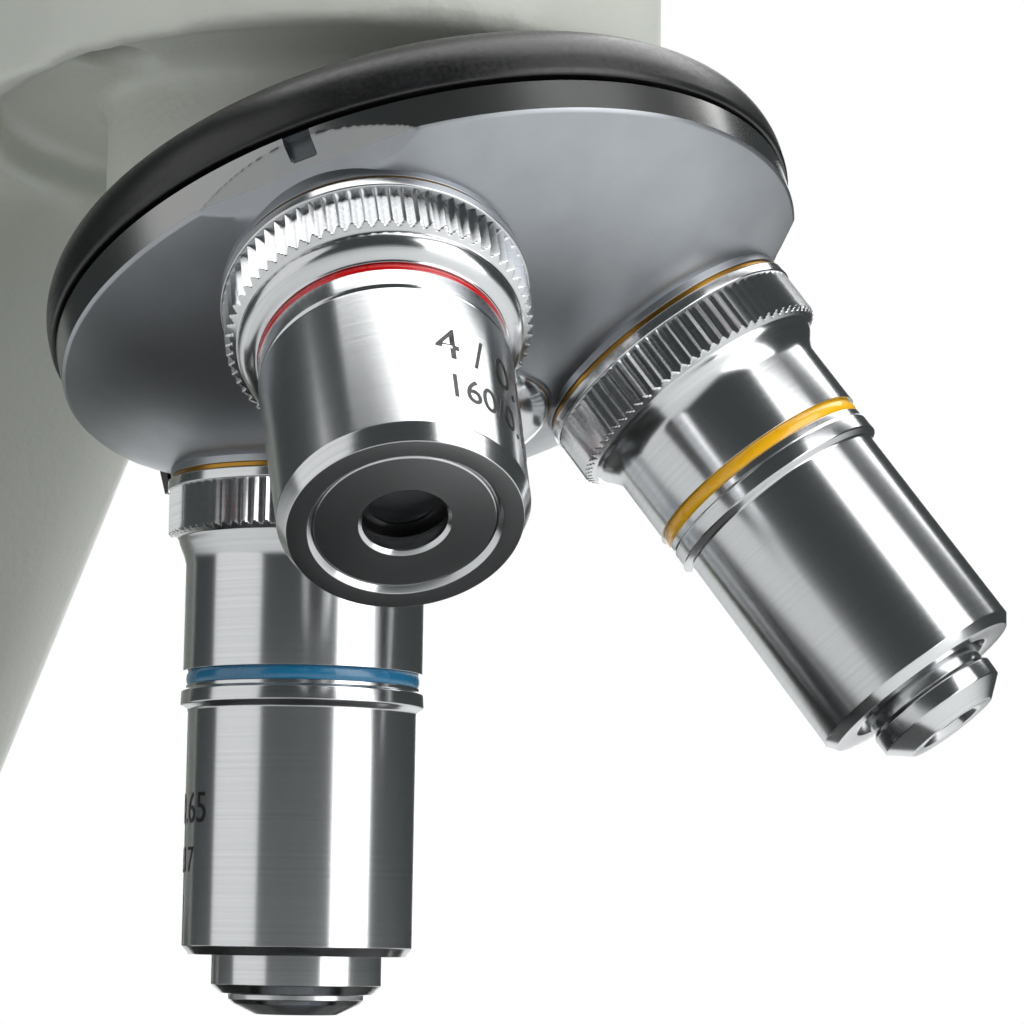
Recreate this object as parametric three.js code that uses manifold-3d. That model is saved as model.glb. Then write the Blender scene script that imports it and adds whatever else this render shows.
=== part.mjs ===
// Monocular student microscope: base with an LED lamp, arm with coaxial focusing, stage, three-place
// nosepiece with 4x, 10x and 40x objectives, and a turning monocular head.
// Millimetres, +Z up. The optical axis is built at x = 0, y = 0 and the floor at z = 0; the last
// section moves the whole instrument so that its origin is the middle of the base's footprint.

import * as THREE from 'three';
import { mergeVertices } from 'three/addons/utils/BufferGeometryUtils.js';
import Module from 'manifold-3d';

const wasm = await Module();
wasm.setup();

// ---------------------------------------------------------------- driving dimensions

const gap = 0.3; // clearance between pieces that meet in a turned group
const running = 0.25; // radial clearance of a shaft in its bore
const fineness = 0.42; // scales the facet count of every turned piece

// base
const baseWidth = 130;
const baseFront = -70; // measured from the optical axis
const baseRear = 136;
const baseCorner = 30;
const baseBottom = 4; // the feet hold the casting this high
const baseTop = 44;
const baseWall = 4;
const baseEdge = 6; // rounding of the top edge
const coverThickness = 2;
const footRadius = 9;
const footInset = 24;

// lamp
const pedestalRadius = 30;
const pedestalTop = 58;
const lampBore = 20;
const lampCollarTop = 64;

// arm and head block
const armWidth = 38;
const armCorner = 12;
const armFrontLow = 78; // the column's front face, behind the optical axis
const armBackLow = 124;
const armSlope = 0.65; // how far the upper front face runs back for each millimetre down
const headRadius = 29.4; // the round nose of the head block
const headBottomRear = 27.6; // heights of the head block above the objectives' shoulder
const headBottomFront = 32.2;
const headTop = 76;
const headRear = 50;
const recessRadius = 27.3;
const recessCeiling = 32;
const bossRadius = 17.65;
const opticalBore = 9;
const headSocketRadius = 21;
const headSocketDepth = 8;

// nosepiece
const shoulderHeight = 184; // the working objective's shoulder above the floor
const turretTilt = THREE.MathUtils.degToRad(21.5);
const seatCircle = 18.66; // radius of the circle through the three seats
const domeRadius = seatCircle / Math.sin(turretTilt); // seats are square to the dome
const seatSink = 0.6; // how deep the seats are faced into the dome
const plateRadius = 30.5;
const plateRim = 2.57; // height of the plate's rim
const ringRadiusLow = plateRadius + 0.4;
const ringRadiusTop = plateRadius - 3.05;
const ringHeight = 5.57;
const seatBoss = 11.95;
const seatThread = 10.45;
const pivotShank = 4;
const pivotHead = 7.5;

// objectives, shared
const stemRadius = 10.15; // society thread, 20.32 mm across
const stemLength = 4.3;
const flangeRadius = 11.7;
const flangeDepth = 1.15;
const knurlRadius = 11.57;
const knurlEnd = 5.1;
const ringSink = 0.95; // depth of the groove that holds the colour ring

// stage
const workingGap = 1.2; // tip of the 40x to the stage's top at the highest coarse setting
const stageDrop = 15.4; // how far below that the stage rests
const stageWidth = 120;
const stageFront = -56;
const stageRear = 60;
const stageThickness = 5;
const stageHole = 14;
const diaphragmReach = 21; // the diaphragm disc's pin, in front of the optical axis
const diaphragmRadius = 31;

// focusing drive
const driveDrop = 35; // of the drive shaft under the stage's top
const guideWidth = 34;
const guideDrop = 7; // of the guide's top under the stage's top
const guideLength = 66;
const channelRise = 23; // of the rack's channel in the arm above the stage's top
const guideFront = 66;
const module1 = 1; // tooth module
const pinionTeeth = 12;
const coarseKnobRadius = 21;
const fineKnobRadius = 14;
const fineShaftRadius = 2;
const coarseShaftRadius = 4;
const hubRadius = 17; // bearing hubs on the arm's sides
const hubReach = 16;

// head
const headFlange = 27;
const tubeTilt = THREE.MathUtils.degToRad(45);
const tubeRadius = 14.4;
const tubeBore = 11.9;
const tubeLength = 52;
const eyepieceRadius = 11.6; // standard 23.2 mm eyepiece
const eyepieceHead = 16.5;

// ---------------------------------------------------------------- worked out from them

const stageTop = shoulderHeight - 44.4 - workingGap - stageDrop;
const stageUnder = stageTop - stageThickness;
const driveHeight = stageTop - driveDrop;
const guideHigh = stageTop - guideDrop;
const guideLow = guideHigh - guideLength;
const channelHigh = stageTop + channelRise;
const headSeat = shoulderHeight + headTop;
const pitchRadius = module1 * pinionTeeth / 2;
const driveDepth = guideFront + 24; // the drive shaft behind the optical axis

// Heights in the turret's frame are above the seats' circle, along the turret's axis.
const domeCentre = Math.sqrt(domeRadius ** 2 - seatCircle ** 2);
const domeHeight = (r) => domeCentre - Math.sqrt((domeRadius + seatSink) ** 2 - r ** 2);
const plateRimLow = domeHeight(plateRadius) + 0.07;
const plateRimHigh = plateRimLow + plateRim;
const ringLow = plateRimHigh + gap;
const ringTop = ringLow + ringHeight;

// ---------------------------------------------------------------- tools

const paint = (colour, roughness, metalness) =>
  new THREE.MeshStandardMaterial({ color: colour, roughness, metalness });

const enamel = () => paint(0xb9bcb4, 0.5, 0.1);
const steel = () => paint(0xb4b6b8, 0.3, 1);
const satinChrome = () => paint(0xa9acaf, 0.4, 1);
const blackPaint = () => paint(0x141416, 0.45, 0.1);
const blackPlastic = () => paint(0x1c1c1e, 0.6, 0);
const rubber = () => paint(0x202020, 0.9, 0);
const glass = () => paint(0xdfe8ea, 0.05, 0);
const brass = () => paint(0xb08d4a, 0.35, 1);
const board = () => paint(0x1f5a3a, 0.6, 0);

// Keeps positions only, joins shared vertices, drops slivers, and turns the faces outwards.
function closed(geometry) {
  const bare = geometry.clone();
  bare.deleteAttribute('normal');
  bare.deleteAttribute('uv');
  const merged = mergeVertices(bare, 1e-4);
  const p = merged.getAttribute('position');
  const index = merged.getIndex().array;
  const kept = [];
  let volume = 0;
  const a = new THREE.Vector3();
  const b = new THREE.Vector3();
  const c = new THREE.Vector3();
  for (let i = 0; i < index.length; i += 3) {
    const [u, v, w] = [index[i], index[i + 1], index[i + 2]];
    if (u === v || v === w || w === u) continue;
    kept.push(u, v, w);
    a.fromBufferAttribute(p, u);
    b.fromBufferAttribute(p, v);
    c.fromBufferAttribute(p, w);
    volume += a.dot(b.cross(c));
  }
  if (volume < 0) kept.reverse();
  merged.setIndex(kept);
  return merged;
}

function solid(geometry) {
  const g = closed(geometry);
  const vertProperties = new Float32Array(g.getAttribute('position').array);
  const triVerts = new Uint32Array(g.getIndex().array);
  return new wasm.Manifold(new wasm.Mesh({ numProp: 3, vertProperties, triVerts }));
}

function surface(manifold) {
  const mesh = manifold.getMesh();
  const g = new THREE.BufferGeometry();
  const step = mesh.numProp;
  const count = mesh.vertProperties.length / step;
  const xyz = new Float32Array(count * 3);
  for (let i = 0; i < count; i += 1) {
    xyz.set(mesh.vertProperties.subarray(i * step, i * step + 3), i * 3);
  }
  g.setAttribute('position', new THREE.BufferAttribute(xyz, 3));
  g.setIndex(Array.from(mesh.triVerts));
  return g;
}

// One body from a first geometry, with others added to it and then others cut from it.
function shaped(first, added = [], cuts = []) {
  let body = solid(first);
  for (const g of added) body = body.add(solid(g));
  for (const g of cuts) body = body.subtract(solid(g));
  return surface(body);
}

function piece(parent, name, geometry, material) {
  const g = closed(geometry);
  g.computeVertexNormals();
  const mesh = new THREE.Mesh(g, material);
  mesh.name = name;
  parent.add(mesh);
  return mesh;
}

// A turned piece: the profile lists [radius, height] and is revolved about the vertical axis.
function turned(profile, segments = 40) {
  const points = profile.map(([r, z]) => new THREE.Vector2(Math.max(r, 0), z));
  if (profile[0][0] > 0 || profile[profile.length - 1][0] > 0) points.push(points[0].clone());
  const g = new THREE.LatheGeometry(points, Math.max(12, 2 * Math.round(segments * fineness / 2)));
  g.rotateX(Math.PI / 2);
  return g;
}

const rod = (radius, low, high, segments = 32) =>
  turned([[0, low], [radius, low], [radius, high], [0, high]], segments);

const sleeve = (outer, inner, low, high, segments = 32) =>
  turned([[inner, low], [outer, low], [outer, high], [inner, high]], segments);

const block = (x0, x1, y0, y1, z0, z1) => {
  const g = new THREE.BoxGeometry(x1 - x0, y1 - y0, z1 - z0);
  g.translate((x0 + x1) / 2, (y0 + y1) / 2, (z0 + z1) / 2);
  return g;
};

function roundedRectangle(x0, x1, y0, y1, corner) {
  const s = new THREE.Shape();
  s.moveTo(x0 + corner, y0);
  s.lineTo(x1 - corner, y0);
  s.absarc(x1 - corner, y0 + corner, corner, -Math.PI / 2, 0);
  s.absarc(x1 - corner, y1 - corner, corner, 0, Math.PI / 2);
  s.absarc(x0 + corner, y1 - corner, corner, Math.PI / 2, Math.PI);
  s.absarc(x0 + corner, y0 + corner, corner, Math.PI, 1.5 * Math.PI);
  return s;
}

// A plate from an outline, from low to high; edge rounds both of its rims.
function plate(shape, low, high, edge = 0, curveSegments = 5, bevelSegments = 2) {
  const g = new THREE.ExtrudeGeometry(shape, {
    depth: high - low - 2 * edge,
    curveSegments,
    bevelEnabled: edge > 0,
    bevelThickness: edge,
    bevelSize: edge,
    bevelOffset: -edge,
    bevelSegments,
  });
  g.translate(0, 0, low + edge);
  return g;
}

const lyingAlongX = (g) => g.rotateY(Math.PI / 2);

// Stands a plate up so that its outline's axes run along Y and Z and its thickness along X.
const acrossX = (g) => g.applyMatrix4(new THREE.Matrix4().makeBasis(
  new THREE.Vector3(0, 1, 0), new THREE.Vector3(0, 0, 1), new THREE.Vector3(1, 0, 0)));

// Closed skin through rings of points, each ring with the same count, ends closed by fans.
function loft(rings) {
  const n = rings[0].length;
  const flat = rings.flat();
  const index = [];
  for (let i = 0; i + 1 < rings.length; i += 1) {
    for (let j = 0; j < n; j += 1) {
      const k = (j + 1) % n;
      const a = i * n + j;
      const b = i * n + k;
      index.push(a, b, b + n, a, b + n, a + n);
    }
  }
  const last = (rings.length - 1) * n;
  for (let j = 1; j + 1 < n; j += 1) {
    index.push(0, j + 1, j);
    index.push(last, last + j, last + j + 1);
  }
  const g = new THREE.BufferGeometry().setFromPoints(flat);
  g.setIndex(index);
  return g;
}

// ---------------------------------------------------------------- groups

const instrument = new THREE.Group();
instrument.name = 'microscope';

// ---------------------------------------------------------------- base

function buildBase() {
  const half = baseWidth / 2;
  const outline = (inset) => roundedRectangle(
    -half + inset, half - inset, baseFront + inset, baseRear - inset, baseCorner - inset);
  const outer = plate(outline(0), baseBottom - baseEdge, baseTop, baseEdge, 6, 3);
  const pedestal = turned([
    [lampBore, baseTop], [pedestalRadius + 3, baseTop],
    [pedestalRadius + 0.9, baseTop + 1.2], [pedestalRadius, baseTop + 4],
    [pedestalRadius - 1, pedestalTop - 1.5], [pedestalRadius - 2.4, pedestalTop],
    [lampBore, pedestalTop],
  ], 48);
  const hollow = plate(outline(baseWall), baseBottom - 20, baseTop - baseWall);
  const lampWell = rod(lampBore, baseTop - 10, pedestalTop + 1, 40);
  const underCut = block(-90, 90, baseFront - 10, baseRear + 10, baseBottom - 20, baseBottom);
  const panel = block(-32, 32, baseRear - 3, baseRear + 5, 13, 37);
  const panelWall = block(-36, 36, baseRear - 9, baseRear - 3, 9, 41);
  const switchHole = block(-24.3, -5.7, baseRear - 20, baseRear + 5, 18.7, 31.3);
  const inletHole = rod(5.3, -20, 5, 24).rotateX(-Math.PI / 2).translate(16, baseRear, 25);
  const knobHole = lyingAlongX(rod(3.6, half - 10, half + 10, 20)).translate(0, 30, 24);
  let body = solid(outer).subtract(solid(hollow)).add(solid(panelWall));
  for (const x of [-1, 1]) {
    for (const y of [baseFront + footInset, baseRear - footInset]) {
      const post = rod(5, baseBottom + 0.5 + coverThickness, baseTop - baseWall + 1, 12);
      body = body.add(solid(post.translate(x * (half - footInset), y, 0)));
    }
  }
  for (const cut of [lampWell, underCut, panel, switchHole, inletHole, knobHole]) {
    body = body.subtract(solid(cut));
  }
  piece(instrument, 'base_casting', surface(body), enamel());
  piece(instrument, 'lamp_pedestal', pedestal, enamel());

  const cover = plate(outline(baseWall + 0.4), baseBottom + 0.5, baseBottom + 0.5 + coverThickness);
  piece(instrument, 'base_cover_plate', cover, blackPaint());

  const places = {
    front_left: [-1, baseFront + footInset],
    front_right: [1, baseFront + footInset],
    rear_left: [-1, baseRear - footInset],
    rear_right: [1, baseRear - footInset],
  };
  for (const [place, [side, y]] of Object.entries(places)) {
    const foot = turned([
      [0, 0], [footRadius - 1.5, 0], [footRadius, 1.2], [footRadius - 0.6, baseBottom + 0.5],
      [0, baseBottom + 0.5],
    ], 24);
    foot.translate(side * (half - footInset), y, 0);
    piece(instrument, `foot_${place}`, foot, rubber());
  }
}

// ---------------------------------------------------------------- lamp, switch, inlet, dimmer

function buildLamp() {
  const collar = turned([
    [15.5, pedestalTop - 8], [lampBore - 0.4, pedestalTop - 8], [lampBore - 0.4, pedestalTop + 0.2],
    [24, pedestalTop + 0.2], [24, pedestalTop + 3], [22.5, lampCollarTop], [18.4, lampCollarTop],
    [17.4, lampCollarTop - 1.5], [17.4, lampCollarTop - 4], [15.5, lampCollarTop - 4],
  ], 48);
  piece(instrument, 'lamp_collar', collar, blackPlastic());
  const lens = turned([
    [0, lampCollarTop - 3.8], [17, lampCollarTop - 3.8], [17, lampCollarTop - 2.4],
    [13, lampCollarTop - 0.9], [7, lampCollarTop + 0.2], [0, lampCollarTop + 0.6],
  ], 40);
  piece(instrument, 'lamp_lens', lens, glass());
  const disc = rod(17, baseTop - 14, baseTop - 12.4, 32);
  const emitter = turned([
    [0, baseTop - 13], [3.4, baseTop - 13], [3.4, baseTop - 11], [2.4, baseTop - 9], [0, baseTop - 8],
  ], 16);
  piece(instrument, 'led_board', shaped(disc, [emitter]), paint(0xe8e8e4, 0.4, 0));
  const sheet = block(-28, 28, 66, 100, 14, 15.6);
  const coil = block(-20, -6, 72, 86, 15, 26);
  const can = rod(5, 15, 28, 20).translate(8, 78, 0);
  const chip = block(-4, 6, 88, 96, 15, 18);
  piece(instrument, 'driver_board', shaped(sheet, [coil, can, chip]), board());
}

function buildControls() {
  const frame = shaped(
    block(-26, -4, baseRear - 3, baseRear - 1.6, 16.6, 33.4),
    [block(-24, -6, baseRear - 14, baseRear - 2, 19, 31)],
    [block(-22, -8, baseRear - 12, baseRear + 5, 20.4, 29.6)]);
  piece(instrument, 'switch_frame', frame, blackPlastic());

  const rocker = new THREE.Group();
  rocker.position.set(-15, baseRear - 7, 25);
  rocker.rotation.x = THREE.MathUtils.degToRad(-8);
  const side = new THREE.Shape();
  side.moveTo(-3, -4);
  side.lineTo(4.6, -4);
  side.quadraticCurveTo(3.2, 0, 4.6, 4);
  side.lineTo(-3, 4);
  piece(rocker, 'rocker_switch', acrossX(plate(side, -6.5, 6.5)), blackPlastic());
  instrument.add(rocker);

  const inletY = baseRear - 3;
  const inlet = shaped(
    rod(5, -12, 1, 24),
    [rod(7, 0.05, 1.6, 24)],
    [sleeve(3.1, 1.1, -9, 3, 20)]);
  inlet.rotateX(-Math.PI / 2);
  inlet.translate(16, inletY, 25);
  piece(instrument, 'power_inlet', inlet, blackPlastic());

  const half = baseWidth / 2;
  const grips = 16;
  const rim = new THREE.Shape();
  for (let i = 0; i < grips * 2; i += 1) {
    const angle = Math.PI * i / grips;
    const r = i % 2 ? 9.4 : 10;
    const method = i ? 'lineTo' : 'moveTo';
    rim[method](r * Math.cos(angle), r * Math.sin(angle));
  }
  const knob = shaped(plate(rim, half + 0.8, half + 10.5, 0.8), [rod(3, half - 14, half + 2, 20)]);
  piece(instrument, 'brightness_knob', lyingAlongX(knob).translate(0, 30, 24), blackPlastic());
}

// ---------------------------------------------------------------- arm

// Rounded rectangle between a front and a back point in the YZ plane, square to the X axis.
function armRing(front, back, halfWidth, corner, arcs = 3) {
  const depth = front.distanceTo(back);
  const along = back.clone().sub(front).divideScalar(depth);
  const middle = front.clone().add(back).multiplyScalar(0.5);
  const ring = [];
  const corners = [[1, 1], [-1, 1], [-1, -1], [1, -1]];
  corners.forEach(([sx, sy], quarter) => {
    for (let i = 0; i <= arcs; i += 1) {
      const angle = Math.PI / 2 * (quarter + i / arcs);
      const x = sx * (halfWidth - corner) + corner * Math.cos(angle);
      const d = sy * (depth / 2 - corner) + corner * Math.sin(angle);
      ring.push(new THREE.Vector3(x, middle.x + along.x * d, middle.y + along.y * d));
    }
  });
  return ring;
}

function buildArm() {
  const under = shoulderHeight + headBottomRear;
  const v = (y, z) => new THREE.Vector2(y, z);
  const bendZ = under - (armFrontLow - headRadius + 1.4) / armSlope;
  const frontCurve = new THREE.CurvePath();
  frontCurve.add(new THREE.LineCurve(v(armFrontLow, baseTop), v(armFrontLow, bendZ - 18)));
  frontCurve.add(new THREE.QuadraticBezierCurve(
    v(armFrontLow, bendZ - 18), v(armFrontLow, bendZ), v(armFrontLow - 15 * armSlope, bendZ + 15)));
  frontCurve.add(new THREE.LineCurve(
    v(armFrontLow - 15 * armSlope, bendZ + 15), v(headRadius - 1.4 - 9 * armSlope, under + 9)));
  const backCurve = new THREE.CurvePath();
  backCurve.add(new THREE.LineCurve(v(armBackLow, baseTop), v(armBackLow, bendZ + 2)));
  backCurve.add(new THREE.QuadraticBezierCurve(
    v(armBackLow, bendZ + 2), v(armBackLow, bendZ + 28), v(armBackLow - 17, bendZ + 52)));
  backCurve.add(new THREE.LineCurve(v(armBackLow - 17, bendZ + 52), v(headRear - 5, headSeat - 5)));
  const steps = 14;
  const rings = [];
  for (let i = 0; i <= steps; i += 1) {
    const front = frontCurve.getPointAt(i / steps);
    const back = backCurve.getPointAt(i / steps);
    rings.push(armRing(front, back, armWidth / 2, armCorner));
  }
  const column = loft(rings);

  const nose = new THREE.Shape();
  nose.moveTo(headRadius, 0);
  nose.lineTo(headRadius, headRear - 18);
  nose.absarc(headRadius - 18, headRear - 18, 18, 0, Math.PI / 2);
  nose.lineTo(-headRadius + 18, headRear);
  nose.absarc(-headRadius + 18, headRear - 18, 18, Math.PI / 2, Math.PI);
  nose.lineTo(-headRadius, 0);
  nose.absarc(0, 0, headRadius, Math.PI, 2 * Math.PI);
  const head = plate(nose, under, headSeat, 2, 7, 2);
  const plinth = plate(
    roundedRectangle(-30, 30, armFrontLow, armBackLow + 7, 14), baseTop, baseTop + 12, 4, 4);

  const wedge = block(-40, 40, -70, 0, -20, 0);
  wedge.rotateX(-Math.atan2(headBottomFront - headBottomRear, 2 * recessRadius));
  wedge.translate(0, recessRadius, shoulderHeight + headBottomRear);
  const recess = rod(recessRadius, under - 12, shoulderHeight + recessCeiling, 64);
  const boss = rod(bossRadius, shoulderHeight + 4, shoulderHeight + recessCeiling + 2, 48);
  const turretRoom = rod(ringRadiusLow + 7, -60, ringTop + gap, 48);
  turretRoom.rotateX(-turretTilt);
  const seat = turretCentre();
  turretRoom.translate(seat.x, seat.y, seat.z);
  const bore = rod(opticalBore, shoulderHeight, headSeat + 5, 32);
  const socket = turned([
    [0, headSeat - headSocketDepth], [headSocketRadius, headSeat - headSocketDepth],
    [headSocketRadius - 1, headSeat + 1], [0, headSeat + 1],
  ], 40);
  const screwHole = rod(3, shoulderHeight + 20, shoulderHeight + recessCeiling + 9, 20);
  screwHole.translate(-22.6, -1, 0);
  const lockHole = lyingAlongX(rod(3.3, 10, 40, 20)).translate(0, 0, headSeat - 4.6);
  const channel = block(-8, 8, armFrontLow - 20, driveDepth + 9, guideLow + 4, channelHigh);
  const shaftHole = lyingAlongX(rod(coarseShaftRadius + running, -60, 60, 32));
  shaftHole.translate(0, driveDepth, driveHeight);

  const hub = lyingAlongX(turned([
    [0, -armWidth / 2 - hubReach], [hubRadius - 1, -armWidth / 2 - hubReach],
    [hubRadius, -armWidth / 2 - hubReach + 1], [hubRadius, armWidth / 2 + hubReach - 1],
    [hubRadius - 1, armWidth / 2 + hubReach], [0, armWidth / 2 + hubReach],
  ], 64)).translate(0, driveDepth, driveHeight);
  const guideRoom = block(
    -guideWidth / 2 - gap, guideWidth / 2 + gap, armFrontLow - 20, armFrontLow, guideLow, guideHigh + gap);
  let body = solid(column).add(solid(head)).add(solid(plinth)).add(solid(hub));
  body = body.subtract(solid(wedge)).subtract(solid(recess)).add(solid(boss));
  for (const cut of [turretRoom, bore, socket, screwHole, lockHole, channel, guideRoom, shaftHole]) {
    body = body.subtract(solid(cut));
  }
  piece(instrument, 'arm_casting', surface(body), enamel());

  const lock = shaped(
    rod(3, headSocketRadius + 0.6, headRadius + 3, 20),
    [turned([[0, headRadius + 1], [4, headRadius + 1], [7, headRadius + 3], [7.5, headRadius + 4],
      [7.5, headRadius + 11], [6.5, headRadius + 12], [0, headRadius + 12]], 28)]);
  piece(instrument, 'head_lock_screw', lyingAlongX(lock).translate(0, 0, headSeat - 4.6), steel());
}

function turretCentre() {
  return new THREE.Vector3(
    0, -seatCircle * Math.cos(turretTilt), shoulderHeight + seatCircle * Math.sin(turretTilt));
}

// ---------------------------------------------------------------- focusing drive

// Outline of the pinion: straight-flanked teeth, thinned for free running.
function pinionOutline() {
  const s = new THREE.Shape();
  const tooth = 2 * Math.PI / pinionTeeth;
  for (let i = 0; i < pinionTeeth; i += 1) {
    const middle = i * tooth;
    const corners = [
      [pitchRadius - 1.2 * module1, -0.36], [pitchRadius, -0.19], [pitchRadius + 0.8 * module1, -0.08],
      [pitchRadius + 0.8 * module1, 0.08], [pitchRadius, 0.19], [pitchRadius - 1.2 * module1, 0.36],
    ];
    for (const [r, share] of corners) {
      const angle = middle + share * tooth;
      const method = i === 0 && share === -0.36 ? 'moveTo' : 'lineTo';
      s[method](r * Math.cos(angle), r * Math.sin(angle));
    }
  }
  return s;
}

function buildDrive() {
  const drive = new THREE.Group();
  drive.position.set(0, driveDepth, driveHeight);
  drive.rotation.set(0, Math.PI / 2, 0);
  instrument.add(drive);

  const half = armWidth / 2 + hubReach;
  const pinion = plate(pinionOutline(), -5, 5);
  const tube = rod(coarseShaftRadius, -half - 14, half + 14, 32);
  const bore = rod(fineShaftRadius + running, -half - 20, half + 20, 24);
  // Half a tooth of turn brings a gap between teeth to the rack's middle tooth.
  pinion.rotateZ(Math.PI / pinionTeeth);
  piece(drive, 'coarse_shaft', shaped(tube, [pinion], [bore]), steel());

  for (const [side, sign] of [['left', -1], ['right', 1]]) {
    const coarse = turned([
      [coarseShaftRadius + running, half + 1], [coarseKnobRadius - 1, half + 1],
      [coarseKnobRadius, half + 2], [coarseKnobRadius, half + 18], [coarseKnobRadius - 1.5, half + 19.5],
      [fineKnobRadius + 1.5, half + 19.5], [fineKnobRadius + 1.5, half + 15],
      [coarseShaftRadius + running, half + 15],
    ], 48);
    const fine = turned([
      [0, half + 15.6], [fineKnobRadius - 1, half + 15.6], [fineKnobRadius, half + 17],
      [fineKnobRadius, half + 40], [fineKnobRadius - 1.5, half + 41.5], [0, half + 41.5],
    ], 40);
    const fineBore = rod(fineShaftRadius + 0.1, half + 10, half + 30, 24);
    if (sign < 0) {
      coarse.rotateX(Math.PI);
      fine.rotateX(Math.PI);
      fineBore.rotateX(Math.PI);
    }
    piece(drive, `coarse_knob_${side}`, coarse, blackPlastic());
    piece(drive, `fine_knob_${side}`, shaped(fine, [], [fineBore]), blackPlastic());
  }
  piece(drive, 'fine_shaft', rod(fineShaftRadius, -half - 29.6, half + 29.6, 24), steel());

  // Female dovetail on the arm.
  const groove = new THREE.Shape();
  groove.moveTo(-9, guideFront - 1);
  groove.lineTo(9, guideFront - 1);
  groove.lineTo(9, guideFront);
  groove.lineTo(12, guideFront + 7);
  groove.lineTo(-12, guideFront + 7);
  groove.lineTo(-9, guideFront);
  groove.lineTo(-9, guideFront - 1);
  const guide = shaped(
    block(-guideWidth / 2, guideWidth / 2, guideFront, armFrontLow, guideLow, guideHigh),
    [],
    [plate(groove, guideLow - 5, guideHigh + 5),
      block(-6, 6, guideFront - 5, armFrontLow + 5, guideLow + 4, guideHigh + 5)]);
  piece(instrument, 'focus_guide', guide, blackPaint());
}

// ---------------------------------------------------------------- stage and what moves with it

function buildCarriage() {
  const top = stageTop - 5.5;
  const low = top - 36;
  const tongue = new THREE.Shape();
  tongue.moveTo(-8.6, guideFront - 1);
  tongue.lineTo(8.6, guideFront - 1);
  tongue.lineTo(8.6, guideFront + 0.2);
  tongue.lineTo(11.3, guideFront + 6.6);
  tongue.lineTo(-11.3, guideFront + 6.6);
  tongue.lineTo(-8.6, guideFront + 0.2);
  tongue.lineTo(-8.6, guideFront - 1);
  const front = block(-20, 20, guideFront - 6, guideFront - 0.5, low, top);
  const key = block(-6, 6, guideFront - 11, guideFront - 5.5, low, top - 2);
  piece(instrument, 'focus_carriage', shaped(front, [plate(tongue, low, top), key]), satinChrome());

  const pitch = Math.PI * module1;
  const teethDown = 6;
  const teethUp = 5;
  const rackBack = driveDepth - pitchRadius;
  const s = new THREE.Shape();
  s.moveTo(guideFront + 6.8, driveHeight - pitch * (teethDown + 0.5));
  for (let i = -teethDown; i <= teethUp; i += 1) {
    const z = driveHeight + pitch * i;
    s.lineTo(rackBack - 1.1 * module1, z - 0.4 * pitch);
    s.lineTo(rackBack + 0.7 * module1, z - 0.13 * pitch);
    s.lineTo(rackBack + 0.7 * module1, z + 0.13 * pitch);
    s.lineTo(rackBack - 1.1 * module1, z + 0.4 * pitch);
  }
  s.lineTo(guideFront + 6.8, driveHeight + pitch * (teethUp + 0.5));
  piece(instrument, 'focus_rack', acrossX(plate(s, -4.5, 4.5)), brass());
}

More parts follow.
